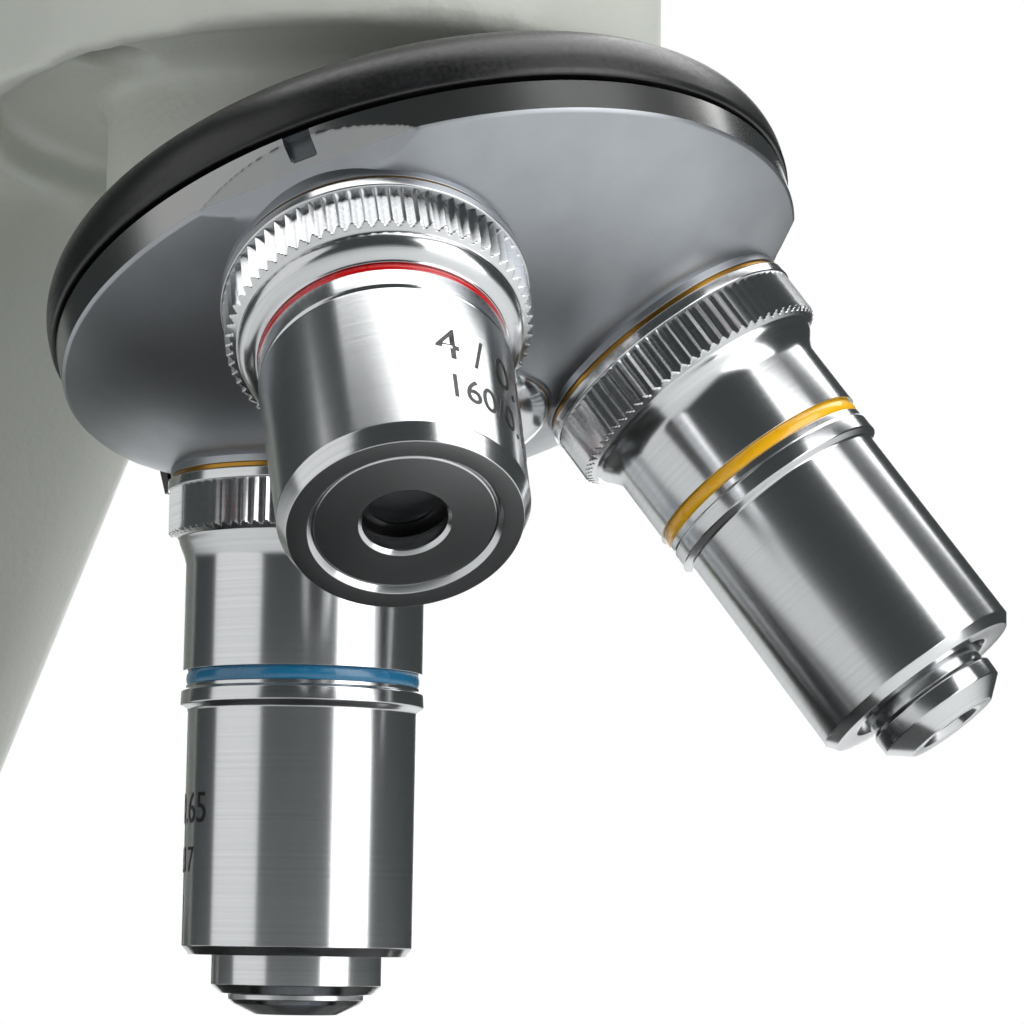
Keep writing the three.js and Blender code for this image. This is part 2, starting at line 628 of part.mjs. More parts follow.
function buildStage() {
  const bracketTop = stageUnder;
  const backPlate = block(-22, 22, guideFront - 19, guideFront - 6.4, bracketTop - 30, bracketTop);
  const shelf = plate(roundedRectangle(-30, 30, -34, guideFront - 8, 12), bracketTop - 6, bracketTop);
  const slot = block(-6.4, 6.4, guideFront - 11.6, guideFront, bracketTop - 60, bracketTop - 0.6);
  const mountHole = rod(18.4, bracketTop - 10, bracketTop + 5, 40);
  const pinHole = rod(2.3, bracketTop - 10, bracketTop + 1, 16).translate(0, -diaphragmReach, 0);
  const clear = block(-20.6, 20.6, guideFront - 6.3, guideFront + 2, bracketTop - 60, bracketTop - 0.4);
  piece(instrument, 'stage_bracket',
    shaped(shelf, [backPlate], [slot, mountHole, pinHole, clear]), blackPaint());

  const half = stageWidth / 2;
  const top = plate(roundedRectangle(-half, half, stageFront, stageRear - 2, 8), stageUnder, stageTop, 0.6, 3, 1);
  const cuts = [rod(stageHole, stageUnder - 5, stageTop + 5, 40)];
  cuts.push(turned([
    [0, stageUnder - 1], [18.4, stageUnder - 1], [18.4, stageUnder + 2], [0, stageUnder + 2],
  ], 40));
  for (const x of [-1, 1]) {
    cuts.push(rod(2.3, stageTop - 4, stageTop + 5, 16).translate(x * 42, 34, 0));
  }
  piece(instrument, 'stage_plate', shaped(top, [], cuts), blackPaint());

  for (const [side, sign] of [['left', -1], ['right', 1]]) {
    const strip = new THREE.Shape();
    strip.absarc(0, 0, 5.5, 0, Math.PI);
    strip.lineTo(-4, -20);
    strip.quadraticCurveTo(-4, -34, 6, -42);
    strip.absarc(8.5, -44, 3, 0.8 * Math.PI, 1.8 * Math.PI);
    strip.quadraticCurveTo(5, -32, 5.5, -20);
    const leaf = plate(strip, stageTop + 1.2, stageTop + 2, 0, 4);
    const post = rod(2, stageTop - 3.6, stageTop + 4, 20);
    const head = turned([
      [0, stageTop + 1.9], [4.4, stageTop + 1.9], [4.4, stageTop + 5], [3.6, stageTop + 5.8],
      [0, stageTop + 5.8],
    ], 24);
    const foot = rod(3.4, stageTop + 0.3, stageTop + 1.5, 20);
    const lip = rod(2.6, stageTop + 0.3, stageTop + 1.5, 16).translate(8.5, -44, 0);
    const clip = solid(leaf).add(solid(post)).add(solid(head)).add(solid(foot)).add(solid(lip));
    const geometry = surface(clip);
    if (sign > 0) geometry.scale(-1, 1, 1);
    geometry.translate(sign * 42, 34, 0);
    piece(instrument, `stage_clip_${side}`, geometry, steel());
  }

  const mount = turned([
    [11, stageUnder - 17], [14, stageUnder - 17], [14, stageUnder - 7], [18, stageUnder - 5.8],
    [18, stageUnder + 1.6], [12.5, stageUnder + 1.6], [12.5, stageUnder - 1], [11, stageUnder - 1],
  ], 40);
  piece(instrument, 'condenser_mount', mount, blackPaint());
  const lens = turned([
    [0, stageUnder - 0.8], [12.2, stageUnder - 0.8], [12.2, stageUnder + 1.2],
    [8, stageUnder + 3.4], [4, stageUnder + 4.2], [0, stageUnder + 4.4],
  ], 32);
  piece(instrument, 'condenser_lens', lens, glass());

  const discTop = stageUnder - 18;
  const holes = [8, 6.5, 5, 3.5, 2.2];
  const rim = new THREE.Shape();
  rim.absarc(0, 0, diaphragmRadius, 0, 2 * Math.PI);
  const middle = new THREE.Path();
  middle.absarc(0, 0, 2.3, 0, 2 * Math.PI, true);
  rim.holes.push(middle);
  holes.forEach((radius, i) => {
    const angle = Math.PI / 2 + 2 * Math.PI * i / holes.length;
    const hole = new THREE.Path();
    hole.absarc(
      diaphragmReach * Math.cos(angle), diaphragmReach * Math.sin(angle), radius, 0, 2 * Math.PI, true);
    rim.holes.push(hole);
  });
  const disc = plate(rim, discTop - 1.5, discTop, 0, 8).translate(0, -diaphragmReach, 0);
  piece(instrument, 'diaphragm_disc', disc, blackPaint());
  const pin = turned([
    [0, discTop - 3.4], [4.5, discTop - 3.4], [4.5, discTop - 1.8], [2, discTop - 1.8],
    [2, discTop + 0.3], [4, discTop + 0.3], [4, stageUnder - 6.1], [2, stageUnder - 6.1],
    [2, stageUnder - 0.5], [0, stageUnder - 0.5],
  ], 20).translate(0, -diaphragmReach, 0);
  piece(instrument, 'diaphragm_pin', pin, steel());
}

// ---------------------------------------------------------------- nosepiece

function seatFrame(geometry, azimuth) {
  return geometry.rotateX(turretTilt).translate(0, seatCircle, 0).rotateZ(azimuth);
}

const azimuths = { red: 2 * Math.PI / 3, yellow: -2 * Math.PI / 3, blue: 0 };

function buildNosepiece() {
  const turret = new THREE.Group();
  turret.position.copy(turretCentre());
  turret.rotation.x = -turretTilt;
  instrument.add(turret);

  const rounding = [];
  const arcs = 4;
  for (let i = 0; i <= arcs; i += 1) {
    const angle = Math.PI / 2 * i / arcs;
    rounding.push([
      ringRadiusTop + (ringRadiusLow - ringRadiusTop) * Math.cos(angle),
      ringTop - 3.4 + 3.4 * Math.sin(angle)]);
  }
  const ring = shaped(
    turned([[0, ringLow], [ringRadiusLow, ringLow], ...rounding, [0, ringTop]], 64),
    [],
    [rod(opticalBore, -5, 20, 28).rotateX(turretTilt).translate(0, seatCircle, 0),
      rod(pivotShank + running, 0, 20, 24)]);
  piece(turret, 'nosepiece_ring', ring, blackPaint());

  const dome = [];
  const rings = 6;
  const edgeRadius = plateRadius - 0.15;
  for (let i = 0; i <= rings; i += 1) {
    const r = edgeRadius * i / rings;
    dome.push([r, domeHeight(r)]);
  }
  const lift = plateRimLow - domeHeight(edgeRadius);
  const profile = dome.map(([r, z]) => [r, z + lift * (r / edgeRadius) ** 4]);
  let plateBody = solid(turned([
    ...profile, [plateRadius, plateRimLow + 0.2], [plateRadius, plateRimHigh], [0, plateRimHigh],
  ], 72));
  for (const azimuth of Object.values(azimuths)) {
    plateBody = plateBody.add(solid(seatFrame(rod(seatBoss, 0, 2.5, 40), azimuth)));
  }
  for (const azimuth of Object.values(azimuths)) {
    plateBody = plateBody.subtract(solid(seatFrame(rod(seatThread, -6, 30, 32), azimuth)));
    const facet = block(-14, 14, 0, 12, -12, 12);
    facet.rotateX(THREE.MathUtils.degToRad(20));
    facet.translate(0, plateRadius - 0.35, plateRimHigh);
    plateBody = plateBody.subtract(solid(facet.rotateZ(azimuth)));
    const notch = block(-0.9, 0.9, plateRadius - 1.6, plateRadius + 3, 0, 20);
    plateBody = plateBody.subtract(solid(notch.rotateZ(azimuth)));
  }
  plateBody = plateBody.subtract(solid(rod(pivotShank + running, -20, 20, 24)));
  piece(turret, 'turret_plate', surface(plateBody), satinChrome());

  const crown = domeHeight(0) - gap;
  const screw = turned([
    [0, crown - 2.6], [3, crown - 2.3], [5.4, crown - 1.3], [7, crown + 0.1], [pivotHead, crown + 0.7],
    [pivotHead, domeHeight(pivotHead) - gap], [pivotShank, domeHeight(pivotShank) - gap],
    [pivotShank, ringTop - 1], [0, ringTop - 1],
  ], 32);
  piece(turret, 'turret_pivot_screw', screw, steel());

  const spring = shaped(
    block(-4, 4, ringRadiusLow + gap, ringRadiusLow + 1.1, plateRimLow - 0.9, ringTop - 0.4),
    [block(-0.7, 0.7, plateRadius + gap, ringRadiusLow + 0.7, plateRimLow - 0.3, plateRimHigh - 0.5)]);
  piece(turret, 'click_spring', spring, steel());

  const frames = {};
  for (const [colour, azimuth] of Object.entries(azimuths)) {
    const spin = new THREE.Group();
    spin.rotation.z = azimuth;
    const frame = new THREE.Group();
    frame.position.y = seatCircle;
    frame.rotation.x = turretTilt;
    spin.add(frame);
    turret.add(spin);
    frames[colour] = frame;
  }
  return frames;
}

// ---------------------------------------------------------------- objectives

// Outer profile shared by the objectives from the stem's top down to the first body step.
const collarProfile = (bodyRadius) => [
  [bodyRadius, -knurlEnd - 1.2], [knurlRadius - 0.9, -knurlEnd - 0.2], [knurlRadius - 0.5, -knurlEnd],
  [knurlRadius, -knurlEnd + 0.3], [knurlRadius, -flangeDepth], [flangeRadius, -flangeDepth + 0.1],
  [flangeRadius, -gap], [stemRadius, -gap], [stemRadius, stemLength],
];

function colourRing(frame, name, colour, radius, top, depth) {
  const ring = turned([
    [radius - 0.6, -top - depth], [radius - 0.12, -top - depth], [radius - 0.02, -top - depth / 2],
    [radius - 0.12, -top], [radius - 0.6, -top],
  ], 48);
  piece(frame, name, ring, paint(colour, 0.25, 0));
}

// Groove for a colour ring, listed upwards from the body below it to the body above it.
const ringGroove = (below, above, top, depth) => [
  [below, -top - depth - gap], [below - ringSink, -top - depth - gap],
  [below - ringSink, -top + gap], [above, -top + gap],
];

function buildRed(frame) {
  const ring = { radius: 9.35, top: 7.0, depth: 0.75 };
  const face = 24.5;
  const barrel = turned([
    [6.95, -face], [8.42, -face], [9.05, -23.3], [9.4, -9.95], [9.4, -9.75], [9.2, -9.6],
    ...ringGroove(9.35, 9.35, ring.top, ring.depth),
    [9.7, -6.5], [10.3, -5.9],
    ...collarProfile(10.7).slice(1),
    [8, stemLength], [8, -17], [6.95, -17.5],
  ], 48);
  piece(frame, 'objective_4x_barrel', barrel, steel());
  colourRing(frame, 'objective_4x_ring', 0xb80008, ring.radius, ring.top, ring.depth);
  const cell = turned([
    [3.6, -face + 0.25], [6.3, -face + 0.35], [6.62, -face + 0.8], [6.62, -18],
    [5.2, -18], [5.2, -face + 4.4], [3.1, -face + 2.9], [3.03, -face + 0.7],
  ], 40);
  piece(frame, 'objective_4x_front_cell', cell, steel());
  const lens = turned([
    [0, -face + 4.9], [2.6, -face + 5.0], [4.8, -face + 5.4], [4.8, -face + 7.4], [0, -face + 8],
  ], 28);
  piece(frame, 'objective_4x_lens', lens, glass());
}

function buildYellow(frame) {
  const ring = { radius: 9.5, top: 12.77, depth: 1.09 };
  const barrel = turned([
    [5.9, -34.9], [8.4, -34.9], [9.01, -34.2], [9.01, -16.3], [9.6, -15.9],
    [9.6, -14.7], [9.5, -14.5],
    ...ringGroove(9.5, 9.65, ring.top, ring.depth),
    [9.65, -7.2], [10.1, -6.6],
    ...collarProfile(9.65).slice(1),
    [8, stemLength], [8, -30], [5.9, -31],
  ], 48);
  piece(frame, 'objective_10x_barrel', barrel, steel());
  colourRing(frame, 'objective_10x_ring', 0xf2a900, ring.radius, ring.top, ring.depth);
  const nose = turned([
    [2.3, -38.9], [3.9, -38.9], [5.6, -37.6], [5.6, -35.2], [5.6, -30.6], [4.2, -30.6],
    [4.2, -36], [2.3, -37.4],
  ], 40);
  piece(frame, 'objective_10x_nose', nose, steel());
  const lens = turned([
    [0, -38.7], [2.0, -38.7], [2.0, -37.3], [2.0, -36.6], [0, -36.0],
  ], 24);
  piece(frame, 'objective_10x_lens', lens, glass());
}

function buildBlue(frame) {
  const ring = { radius: 9.78, top: 16.3, depth: 1.12 };
  const barrel = turned([
    [7.4, -39.6], [9.1, -39.6], [9.56, -39.1], [9.56, -19.6], [10.1, -19.25],
    [10.1, -18.0], [9.78, -17.8],
    ...ringGroove(9.78, 10.04, ring.top, ring.depth),
    [10.04, -7.2], [10.4, -6.6],
    ...collarProfile(10.04).slice(1),
    [8.2, stemLength], [8.2, -34], [7.4, -34.4],
  ], 48);
  piece(frame, 'objective_40x_barrel', barrel, steel());
  colourRing(frame, 'objective_40x_ring', 0x125f8c, ring.radius, ring.top, ring.depth);
  const nose = turned([
    [1.9, -44.4], [3.6, -44.4], [5.6, -43.2], [6.0, -42.6], [7.05, -42.1], [7.05, -32.6],
    [7.8, -32.6], [7.8, -31], [5, -31], [5, -42], [1.9, -42.9],
  ], 40);
  piece(frame, 'objective_40x_nose', nose, steel());
  const lens = turned([[0, -44.3], [1.6, -44.3], [1.6, -43.2], [0, -42.2]], 20);
  piece(frame, 'objective_40x_lens', lens, glass());
  const coil = sleeve(7.0, 5.8, -30.7, -14, 24);
  piece(frame, 'objective_40x_spring', coil, steel());
}

// ---------------------------------------------------------------- monocular head

function buildHead() {
  const low = headSeat + 0.4;
  const foot = turned([
    [opticalBore, headSeat - headSocketDepth + 0.6], [headSocketRadius - 1.2, headSeat - headSocketDepth + 0.6],
    [headSocketRadius - 2, low], [headFlange, low], [headFlange, low + 5], [headFlange - 1.5, low + 7],
    [headFlange - 4, low + 9], [opticalBore, low + 9],
  ], 48);
  const side = new THREE.Shape();
  side.moveTo(-22, low + 7);
  side.lineTo(22, low + 7);
  side.quadraticCurveTo(24, low + 14, 26, low + 21);
  side.lineTo(11, low + 37);
  side.quadraticCurveTo(3, low + 44, -6, low + 38);
  side.quadraticCurveTo(-20, low + 28, -22, low + 7);
  const profile = acrossX(plate(side, -21, 21));
  const plan = plate(roundedRectangle(-21, 21, -23, 27, 15), low, low + 60);
  const hood = surface(solid(profile).intersect(solid(plan)));

  const tube = new THREE.Group();
  tube.position.set(0, 0, low + 14);
  tube.rotation.x = -tubeTilt;
  tube.updateMatrix();
  const placed = (g) => g.applyMatrix4(tube.matrix);
  const neck = placed(turned([[0, 8], [18.5, 8], [18.5, 24.5], [17, 26], [0, 26]], 40));
  const tubeRoom = placed(rod(tubeRadius + gap, 14, 40, 40));
  const lightWay = placed(rod(9, -2, 20, 28));
  const prismRoom = block(-11, 11, -11, 11, low + 4, low + 26);
  const shaft = rod(opticalBore, headSeat - 20, low + 12, 28);
  piece(instrument, 'head_housing',
    shaped(foot, [hood, neck], [tubeRoom, prismRoom, lightWay, shaft]), enamel());

  const prism = new THREE.Shape();
  prism.moveTo(-9, low + 5);
  prism.lineTo(9, low + 5);
  prism.lineTo(9, low + 12);
  prism.lineTo(-4, low + 25);
  prism.lineTo(-9, low + 12);
  piece(instrument, 'head_prism', acrossX(plate(prism, -9, 9)), glass());

  instrument.add(tube);
  const end = 20.6 + tubeLength;
  piece(tube, 'eyepiece_tube', turned([
    [tubeBore, 20.6], [tubeRadius, 20.6], [tubeRadius, end - 0.6], [tubeRadius - 0.6, end], [tubeBore, end],
  ], 40), steel());
  const seat = end + gap;
  piece(tube, 'eyepiece_body', turned([
    [eyepieceRadius - 1.6, seat - 28], [eyepieceRadius, seat - 28], [eyepieceRadius, seat],
    [eyepieceHead - 1, seat], [eyepieceHead, seat + 1], [eyepieceHead, seat + 20],
    [eyepieceHead - 2.5, seat + 25], [eyepieceHead - 5, seat + 26.5], [8.3, seat + 25.5],
    [8.3, seat + 20], [eyepieceRadius - 1.6, seat + 18],
  ], 48), blackPlastic());
  piece(tube, 'eye_lens', turned([
    [0, seat + 20.6], [8, seat + 20.6], [8, seat + 22.6], [4, seat + 23.6], [0, seat + 24],
  ], 28), glass());
  piece(tube, 'eyepiece_field_lens', turned([
    [0, seat - 26], [9.6, seat - 26], [9.6, seat - 24], [5, seat - 22.6], [0, seat - 22.2],
  ], 28), glass());
}

// ---------------------------------------------------------------- assembly

buildBase();
buildLamp();
buildControls();
buildArm();
buildDrive();
buildCarriage();
buildStage();
const objectiveFrames = buildNosepiece();
buildRed(objectiveFrames.red);
buildYellow(objectiveFrames.yellow);
buildBlue(objectiveFrames.blue);
buildHead();

instrument.position.y = -(baseFront + baseRear) / 2;

export default instrument;
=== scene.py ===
"""Shown surfaces and finishes of a monocular student microscope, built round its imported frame.

Lengths inside the classes are millimetres; they become metres as a mesh is made. The row frame's
origin is the middle of the base's footprint, and the optical axis stands at x = 0, y = AXIS_Y.
"""

import logging
import math
from dataclasses import dataclass
from enum import Enum

import bpy
import numpy as np
from mathutils import Matrix, Vector


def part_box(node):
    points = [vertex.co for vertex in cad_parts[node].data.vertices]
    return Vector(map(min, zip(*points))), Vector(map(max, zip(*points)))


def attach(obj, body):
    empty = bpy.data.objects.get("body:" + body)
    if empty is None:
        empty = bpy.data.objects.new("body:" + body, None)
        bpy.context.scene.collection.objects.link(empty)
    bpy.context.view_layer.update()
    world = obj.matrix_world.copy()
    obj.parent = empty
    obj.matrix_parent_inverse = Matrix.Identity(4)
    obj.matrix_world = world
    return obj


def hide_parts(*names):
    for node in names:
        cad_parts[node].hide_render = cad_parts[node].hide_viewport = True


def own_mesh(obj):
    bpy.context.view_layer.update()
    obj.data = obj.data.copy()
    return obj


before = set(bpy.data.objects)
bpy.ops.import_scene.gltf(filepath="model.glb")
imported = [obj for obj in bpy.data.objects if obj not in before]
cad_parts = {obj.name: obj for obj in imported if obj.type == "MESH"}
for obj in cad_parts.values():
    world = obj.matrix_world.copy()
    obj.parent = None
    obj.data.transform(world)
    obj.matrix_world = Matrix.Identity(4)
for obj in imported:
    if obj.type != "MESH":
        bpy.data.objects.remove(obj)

LOG = logging.getLogger("microscope")
MM = 0.001
AXIS_Y = -33.0
SHOULDER = 184.0  # height of the working objective's screw shoulder
TILT = 21.5  # degrees between the turret's axis and the optical axis
SEAT_CIRCLE = 18.66
LAY = "lay"  # point attribute: turned x, turned y and length along the profile, in millimetres
TURNING = "Turning"  # UV map: once round the piece, and along its profile

UPRIGHT = Matrix.Translation((0, AXIS_Y, 0))
TURRET = Matrix.Translation((
    0,
    AXIS_Y - SEAT_CIRCLE * math.cos(math.radians(TILT)),
    SHOULDER + SEAT_CIRCLE * math.sin(math.radians(TILT)),
)) @ Matrix.Rotation(math.radians(-TILT), 4, "X")
SIDEWAYS = Matrix.Rotation(math.radians(90), 4, "Y")  # a turned piece's height runs to the right
REARWARDS = Matrix.Rotation(math.radians(-90), 4, "X")  # a turned piece's height runs to the rear
DRIVE = Matrix.Translation((0, 57, 88)) @ SIDEWAYS


# ------------------------------------------------------------------ surfaces


@dataclass
class Shell:
    """A closed skin in millimetres: points, four-sided and three-sided faces, and their marks.

    Attributes:
        points: (n, 3) places of the points.
        lay: (n, 3) turned x, turned y and length along the profile.
        quads: (q, 4) point numbers.
        quad_uv: (q, 4, 2) place of each corner on the Turning map.
        fans: (t, 3) point numbers of the closing fans.
        fan_uv: (t, 3, 2) place of each fan corner on the Turning map.
    """

    points: np.ndarray
    lay: np.ndarray
    quads: np.ndarray
    quad_uv: np.ndarray
    fans: np.ndarray
    fan_uv: np.ndarray

    def moved(self, matrix: Matrix) -> "Shell":
        """The same skin moved by a matrix in millimetres; a mirrored one still faces outwards."""
        turn = np.array(matrix)
        self.points = self.points @ turn[:3, :3].T + turn[:3, 3]
        return self.flipped() if np.linalg.det(turn[:3, :3]) < 0 else self

    def flipped(self) -> "Shell":
        """The same skin with every face turned round."""
        self.quads, self.quad_uv = self.quads[:, ::-1], self.quad_uv[:, ::-1]
        self.fans, self.fan_uv = self.fans[:, ::-1], self.fan_uv[:, ::-1]
        return self

    def volume(self) -> float:
        """Signed volume: a sixth of the sum of a . (b x c) over the triangles."""
        tris = np.concatenate([self.quads[:, [0, 1, 2]], self.quads[:, [0, 2, 3]], self.fans])
        a, b, c = (self.points[tris[:, k]] for k in range(3))
        return float(np.einsum("ij,ij->i", a, np.cross(b, c)).sum() / 6)


def travelled(points: np.ndarray) -> np.ndarray:
    """Length along a line of points, from its start to each of them."""
    return np.append(0, np.cumsum(np.linalg.norm(np.diff(points, axis=0), axis=1)))


def rounded(corners: list[tuple[float, ...]], steps: int = 5) -> np.ndarray:
    """Profile through corners, each one softened by the parabola that touches both of its sides.

    Args:
        corners: (radius, height) or (radius, height, rounding); the rounding is how far from the
            corner the curve leaves each side, kept under half of the side.
        steps: points on each softened corner, less one.

    Returns:
        (n, 2) points of the profile.
    """
    spots = [np.array(c[:2], float) for c in corners]
    out: list[np.ndarray] = []
    for i, corner in enumerate(corners):
        here = spots[i]
        size = corner[2] if len(corner) > 2 else 0.0
        if size <= 0 or i in (0, len(corners) - 1):
            out.append(here[None])
            continue
        back, ahead = spots[i - 1] - here, spots[i + 1] - here
        start = here + back * min(size / np.linalg.norm(back), 0.49)
        end = here + ahead * min(size / np.linalg.norm(ahead), 0.49)
        t = np.linspace(0, 1, steps + 1)[:, None]
        out.append((1 - t) ** 2 * start + 2 * t * (1 - t) * here + t**2 * end)
    return np.concatenate(out)


def skin(grid: np.ndarray, along: np.ndarray, looped: bool = False) -> Shell:
    """Skin over a grid of closed rings, its ends closed by fans or by joining last row to first.

    Point (i, j) lies on ring i; faces join ring i to ring i + 1 and column j to j + 1, round the
    ring. Turning map: u = j / columns, v = length along the profile / 100.

    Args:
        grid: (rows, columns, 3) points.
        along: (rows,) length along the profile at each ring.
        looped: whether the last ring joins the first.

    Returns:
        The skin, facing outwards.
    """
    closed_low = not looped and np.ptp(grid[0], axis=0).max() < 1e-6
    closed_high = not looped and np.ptp(grid[-1], axis=0).max() < 1e-6
    poles = [grid[0].mean(0), grid[-1].mean(0)]
    marks = [along[0], along[-1]]
    grid = grid[int(closed_low): len(grid) - int(closed_high)]
    along = along[int(closed_low): len(along) - int(closed_high)]
    rows, columns = grid.shape[:2]
    points = grid.reshape(-1, 3)
    spans = rows if looped else rows - 1
    i, j = (x.ravel() for x in np.meshgrid(np.arange(spans), np.arange(columns), indexing="ij"))
    up, right = (i + 1) % rows, (j + 1) % columns
    quads = np.stack([i * columns + j, i * columns + right, up * columns + right, up * columns + j], 1)
    step = np.append(along, along[-1] + np.linalg.norm(grid[-1, 0] - grid[0, 0]) if looped else [])
    u0, u1, v0, v1 = j / columns, (j + 1) / columns, step[i] / 100, step[i + 1] / 100
    quad_uv = np.stack([np.stack(p, 1) for p in ((u0, v0), (u1, v0), (u1, v1), (u0, v1))], 1)
    fans, fan_uv = np.zeros((0, 3), int), np.zeros((0, 3, 2))
    if not looped:
        k = np.arange(columns)
        n = (k + 1) % columns
        top = (rows - 1) * columns
        low = len(points)
        points = np.concatenate([points, poles])
        fans = np.concatenate([
            np.stack([n, k, np.full(columns, low)], 1),
            np.stack([top + k, top + n, np.full(columns, low + 1)], 1),
        ])
        ends = [np.full(columns, m / 100) for m in marks]
        u, w, half = k / columns, (k + 1) / columns, (k + 0.5) / columns
        base, crown = np.full(columns, along[0] / 100), np.full(columns, along[-1] / 100)
        fan_uv = np.concatenate([
            np.stack([np.stack([w, base], 1), np.stack([u, base], 1), np.stack([half, ends[0]], 1)], 1),
            np.stack([np.stack([u, crown], 1), np.stack([w, crown], 1), np.stack([half, ends[1]], 1)], 1),
        ])
    lay = points.copy()
    lay[: rows * columns, 2] = np.repeat(along, columns)
    if not looped:
        lay[-2:, 2] = marks
    made = Shell(points, lay, quads, quad_uv, fans, fan_uv)
    return made.flipped() if made.volume() < 0 else made


@dataclass(frozen=True)
class Teeth:
    """Grooves cut along the height of a turned piece, between two heights.

    Attributes:
        low: lowest height of the grooves.
        high: highest height of the grooves.
        count: grooves in one turn.
        depth: depth of a groove under radius.
        radius: crest radius.
        flat: share of the pitch left flat on a crest; 0 leaves a sharp crest.
        soft: whether the groove is a smooth wave and not a V.
    """

    low: float
    high: float
    count: int
    depth: float
    radius: float
    flat: float = 0.1
    soft: bool = False

    def limit(self, angle: np.ndarray) -> np.ndarray:
        """Radius of the toothed surface: crest less depth times a triangle or cosine wave."""
        phase = (angle * self.count / (2 * np.pi)) % 1
        wave = np.abs(2 * phase - 1)
        if self.soft:
            wave = 0.5 - 0.5 * np.cos(2 * np.pi * phase)
        return self.radius - self.depth * np.clip((wave - self.flat) / (1 - self.flat), 0, 1)


def lathe(
    profile: np.ndarray, columns: int = 96, looped: bool = False, teeth: Teeth | None = None
) -> Shell:
    """Turned skin: (radius, height) swept round the vertical axis.

    Point (i, j) = (r_i cos a_j, r_i sin a_j, z_i), with r_i kept under the teeth's radius at a_j.

    Args:
        profile: (n, 2) radius and height.
        columns: points round the piece.
        looped: whether the profile closes on itself.
        teeth: grooves round the piece, if any.

    Returns:
        The turned skin.
    """
    angle = 2 * np.pi * np.arange(columns) / columns
    radius = np.repeat(np.maximum(profile[:, :1], 0), columns, axis=1)
    if teeth is not None:
        inside = (profile[:, 1] >= teeth.low) & (profile[:, 1] <= teeth.high)
        radius[inside] = np.minimum(radius[inside], teeth.limit(angle)[None])
    height = np.repeat(profile[:, 1:2], columns, axis=1)
    grid = np.stack([radius * np.cos(angle), radius * np.sin(angle), height], 2)
    return skin(grid, travelled(profile), looped)


def rectangle(x: float, y: float, corner: float, arcs: int = 8) -> np.ndarray:
    """Outline of a rectangle with round corners, by quarter turns about the corners' centres.

    Args:
        x: half its width.
        y: half its depth.
        corner: corner radius.
        arcs: points on each corner, less one.

    Returns:
        (4 * (arcs + 1), 2) points, anticlockwise.
    """
    a = np.pi / 2 * (np.arange(4)[:, None] + np.arange(arcs + 1) / arcs)
    sx = np.array([1, -1, -1, 1])[:, None] * (x - corner)
    sy = np.array([1, 1, -1, -1])[:, None] * (y - corner)
    return np.stack([sx + corner * np.cos(a), sy + corner * np.sin(a)], 2).reshape(-1, 2)


def rims(
    low: float, high: float, under: float, over: float, steps: int
) -> list[tuple[float, float]]:
    """Insets and heights of a body whose lower and upper rims are quarter circles.

    Args:
        low: the body's underside.
        high: its top.
        under: radius of the lower rim.
        over: radius of the upper rim.
        steps: rows on each rim.

    Returns:
        (inset, height) of each row, going up.
    """
    t = np.linspace(0, np.pi / 2, steps)
    rows = [(under * (1 - np.sin(a)), low + under * (1 - np.cos(a))) for a in t]
    return rows + [(over * (1 - np.cos(a)), high - over * (1 - np.sin(a))) for a in t]


def slab(
    x: float, y: float, corner: float, low: float, high: float, edge: float = 0.5,
    low_edge: float | None = None, arcs: int = 8,
) -> Shell:
    """Plate with round corners whose rims are quarter circles: rings inset by edge (1 - cos t).

    Args:
        x: half its width.
        y: half its depth.
        corner: corner radius in plan.
        low: its underside.
        high: its top.
        edge: rounding of the top rim.
        low_edge: rounding of the bottom rim, the same as the top's unless given.
        arcs: points on each corner, less one.

    Returns:
        The plate's skin, centred on the vertical axis.
    """
    under = edge if low_edge is None else low_edge
    rings = []
    for inset, z in rims(low, high, under, edge, 6):
        flat = rectangle(x - inset, y - inset, max(corner - inset, 0.05), arcs)
        rings.append(np.column_stack([flat, np.full(len(flat), z)]))
    grid = np.stack(rings)
    return skin(grid, travelled(grid[:, 0]))


def block(x0: float, x1: float, y0: float, y1: float, z0: float, z1: float) -> Shell:
    """Square-edged block between two corners, for cutting."""
    half_x, half_y = (x1 - x0) / 2, (y1 - y0) / 2
    made = slab(half_x, half_y, 0.01, z0, z1, 0.005, arcs=1)
    return made.moved(Matrix.Translation(((x0 + x1) / 2, (y0 + y1) / 2, 0)))


def rod(radius: float, low: float, high: float, columns: int = 64) -> Shell:
    """Plain cylinder on the vertical axis."""
    return lathe(np.array([[0, low], [radius, low], [radius, high], [0, high]]), columns)


def domed(radius: float, low: float, wall: float, dome: float, steps: int = 14) -> Shell:
    """Plano-convex lens: flat below, a wall, and half an ellipse above it.

    Args:
        radius: radius of the lens.
        low: height of its flat face.
        wall: height of its edge.
        dome: height of the ellipse over the edge.
        steps: points on the ellipse.

    Returns:
        The lens on the vertical axis.
    """
    t = np.linspace(0, 1, steps)
    crown = np.stack([radius * (1 - t), low + wall + dome * np.sqrt(1 - (1 - t) ** 2)], 1)
    return lathe(np.concatenate([[[0, low], [radius, low]], crown]), 96)


def swept(path: np.ndarray, side: np.ndarray, section: np.ndarray) -> Shell:
    """Section carried along a path: point = path + side * u + (tangent x side) * v.

    Args:
        path: (n, 3) points of the path.
        side: (n, 3) unit directions of the section's first axis.
        section: (m, 2) closed outline.

    Returns:
        The swept skin.
    """
    tangent = np.gradient(path, axis=0)
    tangent /= np.linalg.norm(tangent, axis=1)[:, None]
    rise = np.cross(tangent, side)
    grid = (
        path[:, None]
        + side[:, None] * section[None, :, :1]
        + rise[:, None] * section[None, :, 1:]
    )
    return skin(grid, travelled(path))


